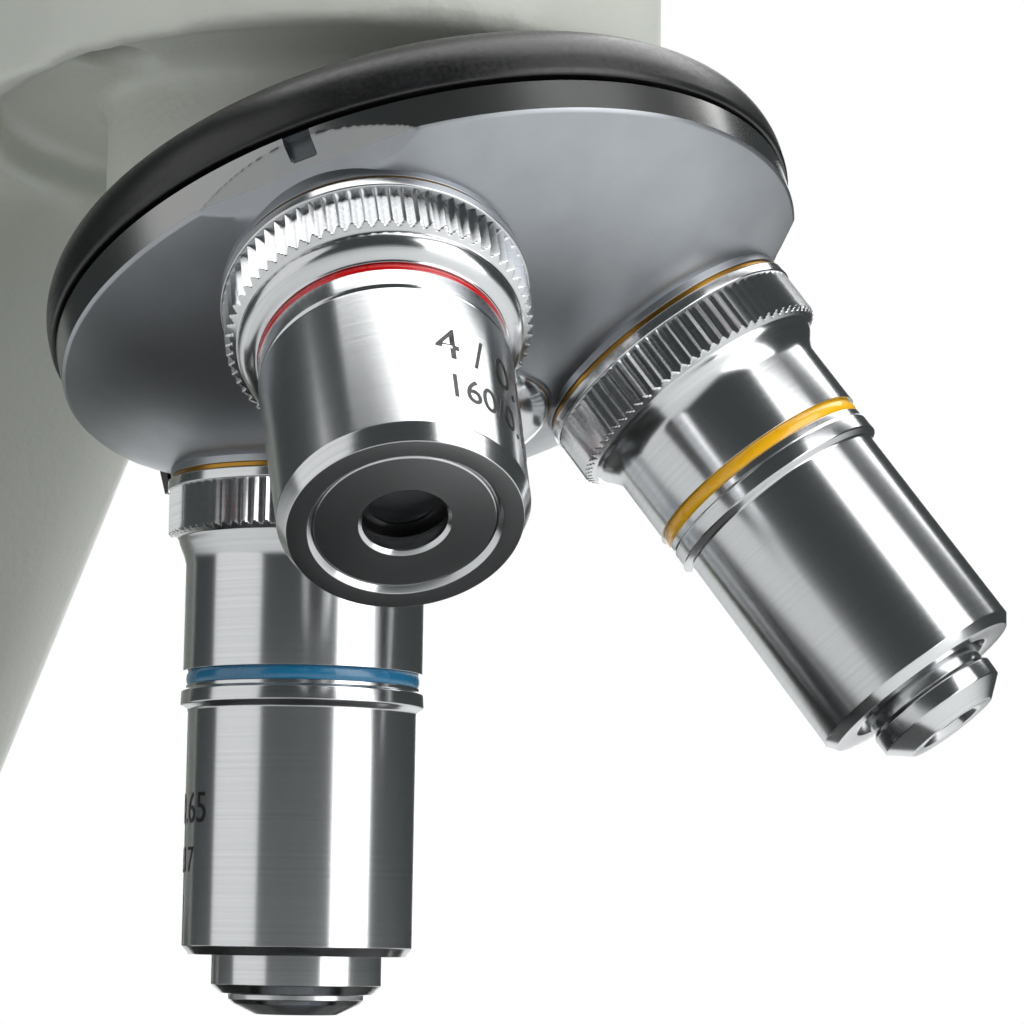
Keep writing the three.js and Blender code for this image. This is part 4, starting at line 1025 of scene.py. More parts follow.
@dataclass
class Focusing:
    """Coarse and fine knobs on both sides, over the frame's shafts, guide and rack."""

    half: float = 35

    def build(self) -> None:
        """Builds the four knobs and dresses the slides."""
        keep(Paint.SHAFT, "coarse_shaft", "fine_shaft")
        keep(Paint.LACQUER, "focus_guide")
        keep(Paint.PLATE, "focus_carriage")
        keep(Paint.BRASS, "focus_rack")
        for side, sign in (("left", -1), ("right", 1)):
            self.knobs(side, sign)

    def knobs(self, side: str, sign: int) -> None:
        """One side's ribbed coarse knob and the fine knob in its hollow."""
        h = self.half
        at = DRIVE @ Matrix.Rotation(0 if sign > 0 else math.pi, 4, "X")
        coarse = densified(rounded([
            (4.3, h + 1), (20, h + 1, 0.6), (21, h + 2, 0.6), (21, h + 18, 0.6),
            (19.5, h + 19.5, 0.8), (15.5, h + 19.5, 0.5), (15.5, h + 15, 0.3), (4.3, h + 15),
            (4.3, h + 1),
        ]), 1.0)
        ribs = Teeth(h + 3.2, h + 16.8, 60, 0.7, 21, 0.35, True)
        mesh = mesh_of("coarse", [lathe(coarse, 480, True, ribs).moved(at)])
        show(f"coarse_knob_ribbed_{side}", mesh, Paint.PLASTIC, "coarse_drive", "black_plastic",
             f"coarse_knob_{side}")
        fine = densified(rounded([
            (0, h + 15.6), (13, h + 15.6, 0.5), (14, h + 17, 0.5), (14, h + 40, 0.6),
            (12.5, h + 41.5, 0.8), (9.6, h + 41.5, 0.3), (9.2, h + 41.1, 0.3), (0, h + 40.9),
        ]), 1.0)
        ribs = Teeth(h + 21.2, h + 38.8, 48, 0.6, 14, 0.3, True)
        mesh = mesh_of("fine", [lathe(fine, 384, False, ribs).moved(at)])
        show(f"fine_knob_ribbed_{side}", mesh, Paint.PLASTIC, "fine_drive", "black_plastic",
             f"fine_knob_{side}")


@dataclass
class Stage:
    """Stage plate on its bracket, with two clips, the condenser and the disc diaphragm."""

    top: float = 123
    thickness: float = 5
    half_width: float = 60
    front: float = -89
    rear: float = 25
    hole: float = 14
    clip_x: float = 42
    clip_y: float = 1

    def build(self) -> None:
        """Builds the stage's pieces."""
        under = self.top - self.thickness
        middle = Matrix.Translation((0, (self.front + self.rear) / 2, 0))
        half = (self.rear - self.front) / 2
        plate = slab(self.half_width, half, 8, under, self.top, 0.7, arcs=12).moved(middle)
        cuts = [
            rod(self.hole, under - 5, self.top + 5, 96).moved(UPRIGHT),
            rod(18.4, under - 1, under + 2, 96).moved(UPRIGHT),
        ]
        for x in (-1, 1):
            cuts.append(rod(2.3, self.top - 4, self.top + 5, 32).moved(
                Matrix.Translation((x * self.clip_x, self.clip_y, 0))))
        show("stage_table", joined(plate, [], cuts), Paint.LACQUER, "stage", "black_paint",
             "stage_plate")
        self.bracket(under)
        self.clips()
        self.condenser(under)

    def bracket(self, under: float) -> None:
        """Shelf under the stage with its back plate."""
        shelf = slab(30, 46, 12, under - 6, under, 0.6, 1.2, 12).moved(Matrix.Translation((0, -21, 0)))
        back = slab(22, 6.3, 2, under - 30, under, 0.4, 1.0, 6).moved(Matrix.Translation((0, 20.3, 0)))
        cuts = [
            block(-6.4, 6.4, 21.4, 33, under - 60, under - 0.6),
            rod(18.4, under - 10, under + 5, 96).moved(UPRIGHT),
            rod(2.3, under - 10, under + 1, 32).moved(Matrix.Translation((0, -54, 0))),
            block(-20.6, 20.6, 26.7, 35, under - 60, under - 0.4),
        ]
        show("stage_shelf", joined(shelf, [back], cuts), Paint.LACQUER, "stage", "black_paint",
             "stage_bracket")

    def clips(self) -> None:
        """Spring clips: a leaf that arches from its screw to a turned-up tip on the slide."""
        for side, sign in (("left", -1), ("right", 1)):
            body = f"clip_{side}"
            t = np.linspace(0, 1, 40)
            x = 1.0 + 7.4 * np.clip(t - 0.45, 0, 1) ** 1.5 / 0.55**1.5
            y = 5.0 - 48.5 * t
            lift = 1.6 + 1.4 * np.sin(np.pi * np.clip(t * 1.05, 0, 1)) - 0.9 * t
            lift += 2.2 * np.clip((t - 0.93) / 0.07, 0, 1) ** 2 * 0.5
            path = np.stack([x, y, self.top + lift], 1)
            across = np.tile([1.0, 0, 0], (len(t), 1))
            leaf = swept(path, across, rectangle(3.2, 0.38, 0.36, 4))
            screw = lathe(rounded([
                (0, self.top - 3.6), (2, self.top - 3.6), (2, self.top + 0.3), (3.4, self.top + 0.3, 0.2),
                (3.4, self.top + 2.9, 0.1), (4.4, self.top + 3, 0.2), (4.4, self.top + 5.2, 0.5),
                (3.4, self.top + 5.8, 0.4), (0, self.top + 5.8)]), 72)
            mirror = Matrix.Diagonal((-sign, 1, 1, 1))
            at = Matrix.Translation((sign * self.clip_x, self.clip_y, 0)) @ mirror
            mesh = mesh_of("clip", [leaf.moved(at), screw.moved(at)])
            show(f"slide_clip_{side}", mesh, Paint.SHAFT, body, "steel",
                 f"stage_clip_{side}")

    def condenser(self, under: float) -> None:
        """Condenser sleeve and lens; the diaphragm disc and its pin keep the frame's shape."""
        sleeve = rounded([
            (11, under - 17), (14, under - 17, 0.4), (14, under - 7, 0.6), (18, under - 5.8, 0.3),
            (18, under + 1.6, 0.2), (12.5, under + 1.6, 0.2), (12.5, under - 1), (11, under - 1, 0.1),
            (11, under - 17),
        ])
        mesh = mesh_of("sleeve", [lathe(sleeve, 120, True).moved(UPRIGHT)])
        show("condenser_sleeve", mesh, Paint.LACQUER, "stage", "black_paint", "condenser_mount")
        mesh = mesh_of("condenser", [domed(12.2, under - 0.8, 1.8, 3.4).moved(UPRIGHT)])
        show("condenser_glass", mesh, Paint.GLASS, "stage", "glass", "condenser_lens")
        keep(Paint.LACQUER, "diaphragm_disc")
        keep(Paint.SHAFT, "diaphragm_pin")


# ------------------------------------------------------------------ nosepiece


@dataclass
class Nosepiece:
    """Fixed ring, turning plate with its milled click facets, brass seats and pivot cap."""

    dome_radius: float = 51.5
    plate_radius: float = 30.5
    rim_low: float = 5.93
    rim_high: float = 8.5
    ring_low: float = 8.6
    ring_top: float = 14.37
    ring_radius: float = 30.9
    ring_top_radius: float = 27.45
    facet_depth: float = 1.4
    facet_rise: float = 2.0
    notch_half: float = 0.9
    notch_depth: float = 1.0
    pivot_radius: float = 7.5
    azimuths: tuple[float, ...] = (120.0, -120.0, 0.0)

    def dome(self, radius: np.ndarray) -> np.ndarray:
        """Height of the plate's underside: a sphere about a centre on the turret's axis."""
        seat_sphere = SEAT_CIRCLE / math.sin(math.radians(TILT))
        centre = math.sqrt(seat_sphere**2 - SEAT_CIRCLE**2)
        return centre - np.sqrt(self.dome_radius**2 - radius**2)

    def build(self) -> None:
        """Builds the ring, the plate, the seats and the cap."""
        self.ring()
        self.plate()
        self.cap()
        keep(Paint.SHAFT, "click_spring")

    def ring(self) -> None:
        """Fixed ring: its outer wall rolls over to the top in a quarter ellipse."""
        t = np.linspace(0, np.pi / 2, 24)
        reach = self.ring_radius - self.ring_top_radius
        roll = np.stack([
            self.ring_top_radius + reach * np.cos(t), self.ring_top - 4.2 + 4.2 * np.sin(t)], 1)
        low = rounded([
            (4.3, self.ring_low + 0.4), (29.6, self.ring_low + 0.4, 0.2),
            (self.ring_radius - 0.2, self.ring_low + 0.25, 0.25),
            (self.ring_radius, self.ring_low + 0.6, 0.3), (self.ring_radius, self.ring_top - 4.2)])
        profile = np.concatenate([low[:-1], roll, [[4.3, self.ring_top]], low[:1]])
        mesh = mesh_of("ring", [lathe(profile, 256, True).moved(TURRET)])
        show("fixed_ring", mesh, Paint.LACQUER, "stand", "black_paint", "nosepiece_ring")

    def milled(self, profile: np.ndarray) -> Shell:
        """Turned ring of the plate with its click facets and notches.

        A lathe grid whose radius is kept under a milled flat near each seat: at height z the flat
        lies at radius - depth * (1 - (z - rim_low) / rise), divided by the cosine of the angle
        from the seat. A notch in the middle of each flat is cut straight to its own depth.

        Args:
            profile: (n, 2) radius and height, closing on itself.

        Returns:
            The ring's skin, at its place on the turret.
        """
        edge, columns = self.plate_radius, 1080
        angle = 2 * np.pi * np.arange(columns) / columns
        radius = np.repeat(profile[:, :1], columns, axis=1)
        height = np.repeat(profile[:, 1:2], columns, axis=1)
        beyond = np.maximum(radius - edge, 0)
        for azimuth in self.azimuths:
            away = (angle - math.radians(azimuth + 90) + np.pi) % (2 * np.pi) - np.pi
            share = 1 - (height - self.rim_low) / self.facet_rise
            flat = (edge - self.facet_depth * share) / np.cos(np.clip(away, -1, 1)) + beyond
            near = (np.abs(away) < 0.5)[None] & (share > 0)
            radius = np.where(near, np.minimum(radius, flat), radius)
            groove = (np.abs(away) * edge < self.notch_half)[None]
            groove = groove & (height > self.rim_low + 0.75) & (height < self.rim_high - 0.01)
            radius = np.where(groove, np.minimum(radius, edge - self.notch_depth), radius)
        grid = np.stack([radius * np.cos(angle), radius * np.sin(angle), height], 2)
        return skin(grid, travelled(profile), True).moved(TURRET)

    def plate(self) -> None:
        """Turning plate: satin underside, ground rim, and a boss and a brass seat per objective."""
        edge = self.plate_radius
        inner = np.linspace(self.pivot_radius - 3.2, edge - 1.3, 46)
        inner = np.concatenate([inner, np.linspace(edge - 1.25, edge - 0.16, 14)])
        lift = (self.rim_low - self.dome(np.array([edge]))[0]) * (inner / edge) ** 4
        under = np.stack([inner, self.dome(inner) + lift], 1)
        wall = np.linspace(self.rim_low + 0.16, self.rim_high - 0.02, 18)
        rim = np.stack([np.full(18, edge), wall], 1)
        top = np.array([[edge - 0.1, self.rim_high], [4.3, self.rim_high]])
        profile = np.concatenate([under, rim, top, under[:1]])
        show("turning_plate", mesh_of("plate", [self.milled(profile)]), Paint.PLATE, "turret",
             "satin_chrome", "turret_plate", degrees=24)
        outer = np.stack([np.full(18, edge + 0.02), wall], 1)
        band = np.concatenate([
            outer, [[edge - 2.4, self.rim_high - 0.02], [edge - 2.4, self.rim_low + 0.7]], outer[:1]])
        show("plate_rim", mesh_of("rim", [self.milled(band)]), Paint.SHAFT, "turret",
             "satin_chrome", degrees=24)
        for name, paint, slot, reach, low, high in (
                ("seat_bosses", Paint.PLATE, "satin_chrome", 11.5, 0.14, 1.6),
                ("seat_bushes", Paint.BRASS, "brass", 11.35, -0.24, 0.14)):
            washer = rounded([
                (10.3, low), (reach, low, 0.06), (reach, high, 0.05), (10.3, high), (10.3, low)])
            seats = [lathe(washer, 160, True).moved(seat_frame(a)) for a in self.azimuths]
            show(name, mesh_of(name, seats), paint, "turret", slot)

    def cap(self) -> None:
        """Domed head of the pivot screw: a shallow polished cap."""
        crown = float(self.dome(np.array([0.0]))[0]) - 0.3
        t = np.linspace(0, np.pi / 2, 24)
        cap = np.stack([self.pivot_radius * np.sin(t), crown + 1.0 - 3.5 * np.cos(t)], 1)
        cap = np.concatenate([cap, [[self.pivot_radius, crown + 1.1], [4, crown + 1.2],
                                    [4, self.ring_top - 1], [0, self.ring_top - 1]]])
        mesh = mesh_of("cap", [lathe(cap, 128).moved(TURRET)])
        show("pivot_cap", mesh, Paint.COLLAR, "stand", "steel", "turret_pivot_screw")


def seat_frame(azimuth: float) -> Matrix:
    """Frame of a seat on the turret: its height is up the objective's axis from its shoulder."""
    return (
        TURRET
        @ Matrix.Rotation(math.radians(azimuth), 4, "Z")
        @ Matrix.Translation((0, SEAT_CIRCLE, 0))
        @ Matrix.Rotation(math.radians(TILT), 4, "X")
    )


# ------------------------------------------------------------------ objectives


@dataclass
class Objective:
    """What the three objectives share: stem, knurled collar, banded barrel and engraved figures.

    Depths are measured down the objective's axis from its screw shoulder.

    Attributes:
        label: the magnification, as the frame names it.
        azimuth: place on the turret, in degrees.
        band: finish of the colour band.
        band_slot: the record's slot of the band.
        band_top: depth of the band's upper edge.
        band_depth: height of the band.
        band_radius: radius of the painted band.
        marks: lines of engraved figures as (text, size, depth, angle in degrees, alignment).
        marks_radius: radius of the barrel under the figures, carried up to the shoulder.
        taper: radius that the barrel loses in each millimetre of depth.
        knurls: grooves of the knurled collar.
    """

    label: str
    azimuth: float
    band: Paint
    band_slot: str
    band_top: float
    band_depth: float
    band_radius: float
    marks: tuple[tuple[str, float, float, float, str], ...] = ()
    marks_radius: float = 9.4
    taper: float = 0.0
    knurls: int = 72

    @property
    def seat(self) -> Matrix:
        """The objective's own frame."""
        return seat_frame(self.azimuth)

    def collar(self) -> list[tuple[float, ...]]:
        """Stem, flange, knurl and the knurl's lower chamfer, going down."""
        chamfer = [
            (11.57 - 0.82 * k / 10, -(4.72 + 0.5 * k / 10)) for k in range(11)]
        return [
            (8.0, 4.3), (9.9, 4.3, 0.2), (10.15, 4.0, 0.2), (10.15, -0.3), (11.7, -0.3, 0.12),
            (11.7, -1.12, 0.1), (11.57, -1.18),
            *[(11.57, -1.19 - 0.35 * k) for k in range(10)],
            *chamfer,
        ]

    def groove(self, above: float, below: float) -> list[tuple[float, ...]]:
        """Groove that holds the band, going down from the body above it to the one below."""
        top, low = self.band_top - 0.02, self.band_top + self.band_depth + 0.02
        floor = self.band_radius - 0.9
        return [(above, -top, 0.04), (floor, -top), (floor, -low), (below, -low, 0.04)]

    def barrel(self) -> list[tuple[float, ...]]:
        """The rest of the barrel's outline and its bore; each objective has its own."""
        raise NotImplementedError

    def tip(self) -> None:
        """Nose, cell and lens; each objective has its own."""
        raise NotImplementedError

    def build(self) -> None:
        """Builds the barrel, the band, the figures and the tip."""
        profile = rounded(self.collar() + self.barrel() + [(8.0, 4.3)])
        teeth = Teeth(-5.3, -1.185, self.knurls, 0.52, 11.57, 0.06)
        mesh = mesh_of("barrel", [lathe(profile, self.knurls * 6, True, teeth).moved(self.seat)])
        show(f"barrel_{self.label}", mesh, Paint.BARREL, "turret", "turned_steel",
             f"objective_{self.label}_barrel", degrees=24)
        self.paint_band()
        self.engrave()
        self.tip()

    def paint_band(self) -> None:
        """Colour band: a shallow cushion of enamel in its groove."""
        top, depth, radius = self.band_top, self.band_depth, self.band_radius
        t = np.linspace(-1, 1, 11)
        face = np.stack([radius - 0.14 * t**2 - 0.02, -top - depth / 2 - t * depth / 2], 1)
        profile = np.concatenate([
            [[radius - 0.85, -top]], face, [[radius - 0.85, -top - depth], [radius - 0.85, -top]]])
        mesh = mesh_of("band", [lathe(profile, 240, True).moved(self.seat)])
        show(f"colour_band_{self.label}", mesh, self.band, "turret", self.band_slot,
             f"objective_{self.label}_ring")

    def engrave(self) -> None:
        """Paint-filled figures, bent round the barrel.

        A figure's flat x becomes the angle x / radius, its y the height, and its thickness
        the radius.
        """
        meshes = []
        for text, size, depth, angle, align in self.marks:
            curve = bpy.data.curves.new("figures", "FONT")
            curve.body = text
            curve.size = size
            curve.align_x = align
            curve.extrude = 0.03
            curve.resolution_u = 6
            thing = bpy.data.objects.new("figures", curve)
            bpy.context.scene.collection.objects.link(thing)
            shown = thing.evaluated_get(bpy.context.evaluated_depsgraph_get())
            mesh = bpy.data.meshes.new_from_object(shown)
            bpy.data.objects.remove(thing)
            flat = np.zeros(len(mesh.vertices) * 3, np.float32)
            mesh.vertices.foreach_get("co", flat)
            flat = flat.reshape(-1, 3).astype(float)
            turn = math.radians(angle) + flat[:, 0] / self.marks_radius
            radius = self.marks_radius - self.taper * (depth - flat[:, 1]) + flat[:, 2]
            round_it = np.stack([radius * np.cos(turn), radius * np.sin(turn), flat[:, 1] - depth], 1)
            place = np.array(self.seat)
            moved = (round_it @ place[:3, :3].T + place[:3, 3]) * MM
            mesh.vertices.foreach_set("co", moved.astype(np.float32).ravel())
            meshes.append(mesh)
        if meshes:
            show(f"figures_{self.label}", merged(meshes), Paint.LACQUER, "turret", "black_paint")

    def turned(
        self, name: str, corners: list[tuple[float, ...]], paint: Paint, body: str, slot: str,
        *nodes: str, looped: bool = True,
    ) -> None:
        """One turned piece of the tip, on the objective's axis, its corners given as depths."""
        profile = rounded([(c[0], -c[1], *c[2:]) for c in corners])
        mesh = mesh_of(name, [lathe(profile, 192, looped).moved(self.seat)])
        show(f"{name}_{self.label}", mesh, paint, body, slot, *nodes, degrees=24)


def merged(meshes: list[bpy.types.Mesh]) -> bpy.types.Mesh:
    """One mesh that holds every point and face of several."""
    points, faces, start = [], [], 0
    for mesh in meshes:
        flat = np.zeros(len(mesh.vertices) * 3, np.float32)
        mesh.vertices.foreach_get("co", flat)
        points += flat.reshape(-1, 3).tolist()
        faces += [[v + start for v in p.vertices] for p in mesh.polygons]
        start = len(points)
    made = bpy.data.meshes.new("merged")
    made.from_pydata(points, [], faces)
    return made


@dataclass
class LowPower(Objective):
    """4x objective: a short barrel with a wide flat front and a deep, dark opening."""

    face: float = 24.5

    def barrel(self) -> list[tuple[float, ...]]:
        """Convex collar, band, step, slightly tapered body, front chamfer and bore."""
        face = self.face
        return [
            (10.72, -5.26), (10.7, -5.6, 0.15), (10.5, -6.15, 0.4), (9.95, -6.6, 0.4),
            (9.45, -6.82, 0.3), *self.groove(9.36, 9.35),
            (9.35, -9.4, 0.1), (9.2, -9.6, 0.08), (9.2, -9.72, 0.05), (9.46, -9.82, 0.1),
            (9.46, -10.0, 0.1), (9.08, -23.2, 0.06), (8.45, -face, 0.06), (7.0, -face, 0.04),
            (6.62, -face + 0.42, 0.04), (6.62, -17), (8, -16.5),
        ]

    def tip(self) -> None:
        """Front cell screwed into the barrel, with a countersunk opening, and its lens."""
        face = self.face
        self.turned("front_cell", [
            (3.35, face - 0.3), (6.5, face - 0.34, 0.1), (6.6, face - 0.5, 0.05), (6.6, 18),
            (5.2, 18), (5.2, face - 4.4), (4.2, face - 3.4, 0.1), (3.4, face - 2.2, 0.1),
            (3.4, face - 1.9, 0.1), (3.12, face - 1.7, 0.1), (3.12, face - 0.9, 0.1),
            (3.03, face - 0.6, 0.1), (3.35, face - 0.3),
        ], Paint.BARREL, "turret", "turned_steel", "objective_4x_front_cell")
        self.turned("lens", [
            (0, face - 5.4), (3.4, face - 5.2), (4.8, face - 5.4), (4.8, face - 7.4), (0, face - 8),
        ], Paint.GLASS, "turret", "glass", "objective_4x_lens", looped=False)
        self.turned("inner_stop", [
            (2.5, face - 2.6), (4.6, face - 2.9), (4.6, face - 3.1), (2.5, face - 2.8),
            (2.5, face - 2.6),
        ], Paint.LACQUER, "turret", "black_paint")


@dataclass
class MiddlePower(Objective):
    """10x objective: a longer barrel with a step under its band and a small coned nose."""

    def barrel(self) -> list[tuple[float, ...]]:
        """Cove, band, raised step, body, front chamfer and bore."""
        return [
            (10.72, -5.26), (10.55, -5.7, 0.2), (10.0, -6.4, 0.5), (9.65, -7.2, 0.4),
            *self.groove(9.65, 9.5), (9.5, -14.4, 0.05), (9.6, -14.6, 0.08), (9.6, -15.8, 0.1),
            (9.01, -16.2, 0.15), (9.01, -34.1, 0.06), (8.4, -34.9, 0.06), (6.3, -34.9, 0.1),
            (6.1, -33.8, 0.1), (5.7, -33.8), (5.7, -31), (8, -30),
        ]

    def tip(self) -> None:
        """Coned nose round a small front lens."""
        self.turned("nose", [
            (2.3, 38.3), (2.7, 38.85, 0.1), (3.9, 38.9, 0.1), (5.55, 37.55, 0.08),
            (5.6, 36.2, 0.1), (5.3, 35.9, 0.1), (5.3, 30.6), (4.2, 30.6), (4.2, 36), (2.3, 37.4),
            (2.3, 38.3),
        ], Paint.BARREL, "turret", "turned_steel", "objective_10x_nose")
        self.turned("lens", [
            (0, 38.2), (1.4, 38.1), (2.25, 37.9), (2.2, 36.8), (0, 36.0),
        ], Paint.GLASS, "turret", "glass", "objective_10x_lens", looped=False)


@dataclass
class HighPower(Objective):
    """40x objective: the longest barrel, with a sprung nose that slides in it."""

    spring_low: float = 30.7
    spring_high: float = 14.0
    spring_radius: float = 6.4
    spring_turns: int = 9
    spring_travel: float = 2.5

    def barrel(self) -> list[tuple[float, ...]]:
        """Cove, band, raised step, body, front chamfer and bore."""
        return [
            (10.72, -5.26), (10.6, -5.7, 0.2), (10.3, -6.4, 0.5), (10.04, -7.2, 0.4),
            *self.groove(10.04, 9.78), (9.78, -17.75, 0.05), (10.15, -17.95, 0.1),
            (10.2, -19.1, 0.15), (9.56, -19.5, 0.15), (9.56, -38.9, 0.08), (9.0, -39.6, 0.08),
            (7.5, -39.6, 0.1), (7.2, -39.2, 0.1), (7.2, -34.4), (8.2, -34),
        ]

    def tip(self) -> None:
        """Sprung nose with its lens, on the spring in the barrel."""
        self.turned("nose", [
            (1.9, 44.0), (2.2, 44.35, 0.08), (3.4, 44.4, 0.1), (5.2, 43.55, 0.06),
            (5.6, 43.2, 0.06), (5.62, 42.75, 0.05), (6.3, 42.7, 0.05), (7.06, 42.0, 0.06),
            (7.06, 32.6), (7.8, 32.6), (7.8, 31), (5, 31), (5, 42), (1.9, 42.9), (1.9, 44.0),
        ], Paint.BARREL, "spring_nose", "turned_steel", "objective_40x_nose")
        self.turned("lens", [
            (0, 44.25), (1.0, 44.2), (1.85, 44.05), (1.8, 43.1), (0, 42.4),
        ], Paint.GLASS, "spring_nose", "glass", "objective_40x_lens", looped=False)
        self.spring()

    def spring(self) -> None:
        """Coil over the nose: a helix of round wire, made at one length; the real coil shortens as the nose
        is pushed in.

        Wire's middle at turn t: (r cos 2 pi t, r sin 2 pi t, low + (high - low) t / turns).
        """
        low, high = SHOULDER - self.spring_low, SHOULDER - self.spring_high
        wire = 0.5
        t = np.linspace(0, self.spring_turns, 48 * self.spring_turns + 1)
        out = np.stack([np.cos(2 * np.pi * t), np.sin(2 * np.pi * t), 0 * t], 1)
        rise = low + wire + (high - low - 2 * wire) * t / self.spring_turns
        path = out * self.spring_radius + np.stack([0 * t, 0 * t, rise], 1)
        a = 2 * np.pi * np.arange(10) / 10
        section = wire * np.stack([np.cos(a), np.sin(a)], 1)
        mesh = mesh_of("spring", [swept(path, out, section).moved(UPRIGHT)])
        coil = show("nose_coil", mesh, Paint.SHAFT, "turret", "steel", "objective_40x_spring")
        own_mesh(coil)


# ------------------------------------------------------------------ head


@dataclass
class Head:
    """Monocular head: cast housing, tube at 45 degrees, and the eyepiece in it."""

    low: float = 260.4
    flange: float = 27
    tube_radius: float = 14.4
    tube_bore: float = 11.9
    tube_end: float = 72.6
    tube_tilt: float = 45

    def build(self) -> None:
        """Builds the head's pieces."""
        self.tube = (
            UPRIGHT
            @ Matrix.Translation((0, 0, self.low + 14))
            @ Matrix.Rotation(math.radians(-self.tube_tilt), 4, "X")
        )
        self.housing()
        self.tube_and_eyepiece()
        keep(Paint.GLASS, "head_prism")

    def housing(self) -> None:
        """Cast hood over the prism on a turned foot, with the neck of the tube."""
        low = self.low
        foot = lathe(rounded([
            (9, low - 7.4), (19.8, low - 7.4, 0.4), (19, low), (self.flange, low, 0.4),
            (self.flange, low + 5, 1.0), (25, low + 7.6, 1.5), (22, low + 9), (9, low + 9),
            (9, low - 7.4)]), 160, True).moved(UPRIGHT)
        rows = 26
        t = np.linspace(0, 1, rows)
        z = low + 6 + 36 * t
        front = -22.5 + 2.0 * t + 16.5 * np.clip((t - 0.45) / 0.55, 0, 1) ** 2
        rear = 23.5 + 3.0 * t - 26 * np.clip((t - 0.40) / 0.60, 0, 1) ** 1.15
        half = 20.8 - 3.0 * np.clip((t - 0.55) / 0.45, 0, 1) ** 2
        rings = []
        for k in range(rows):
            depth = (rear[k] - front[k]) / 2
            flat = rectangle(half[k], depth, min(13.5, depth * 0.92, half[k] * 0.92), 12)
            flat[:, 1] += (rear[k] + front[k]) / 2
            rings.append(np.column_stack([flat, np.full(len(flat), z[k])]))
        hood = skin(np.stack(rings), z - z[0]).moved(UPRIGHT)
        neck = lathe(rounded([
            (0, 6), (18.2, 6), (18.2, 24.0, 0.8), (17, 25.6, 1.0), (0, 25.6)]), 128).moved(self.tube)
        cuts = [
            rod(self.tube_radius + 0.3, 14, 40, 96).moved(self.tube),
            rod(9, -2, 20, 48).moved(self.tube),
            block(-11, 11, AXIS_Y - 11, AXIS_Y + 11, low + 4, low + 26),
            rod(9, low - 20, low + 12, 64).moved(UPRIGHT),
        ]
        mesh = cast(joined(foot, [hood, neck], cuts), 0.8, 6)
        show("head_casting", mesh, Paint.ENAMEL, "head", "enamel", "head_housing", degrees=180)

    def tube_and_eyepiece(self) -> None:
        """Plated tube with a turned lip, and the eyepiece with its eyecup and two lenses."""
        end = self.tube_end
        radius, bore = self.tube_radius, self.tube_bore
        tube = rounded([
            (bore, 20.6), (radius, 20.6, 0.1), (radius, end - 4.4, 0.1), (radius - 0.3, end - 4.1, 0.1),
            (radius - 0.3, end - 3.7, 0.1), (radius, end - 3.4, 0.1), (radius, end - 0.6, 0.3),
            (radius - 0.6, end, 0.3), (bore, end, 0.2), (bore, 20.6)])
        mesh = mesh_of("tube", [lathe(tube, 128, True).moved(self.tube)])
        show("draw_tube", mesh, Paint.BARREL, "head", "satin_chrome", "eyepiece_tube")
        seat = end + 0.3
        body = densified(rounded([
            (10, seat - 28), (11.6, seat - 28, 0.3), (11.6, seat, 0.1), (15.5, seat, 0.4),
            (16.5, seat + 1, 0.5), (16.5, seat + 12, 0.3), (15.9, seat + 12.5, 0.2),
            (15.9, seat + 13.5, 0.2), (16.5, seat + 14, 0.3), (16.5, seat + 20, 1.0),
            (14, seat + 25, 1.2), (11.5, seat + 26.5, 0.8), (8.3, seat + 25.3, 0.6),
            (8.3, seat + 20), (10, seat + 18), (10, seat - 28)]), 0.9)
        grip = Teeth(seat + 2.2, seat + 10.8, 64, 0.35, 16.5, 0.4)
        mesh = mesh_of("eyepiece", [lathe(body, 384, True, grip).moved(self.tube)])
        show("eyepiece_barrel", mesh, Paint.PLASTIC, "eyepiece", "black_plastic", "eyepiece_body")
        for name, node, radius, low, dome in (
                ("eye_glass", "eye_lens", 8.0, seat + 20.6, 1.7),
                ("field_glass", "eyepiece_field_lens", 9.6, seat - 26, 2.1)):
            mesh = mesh_of(name, [domed(radius, low, 1.6, dome).moved(self.tube)])
            show(name, mesh, Paint.GLASS, "eyepiece", "glass", node)


# ------------------------------------------------------------------ studio


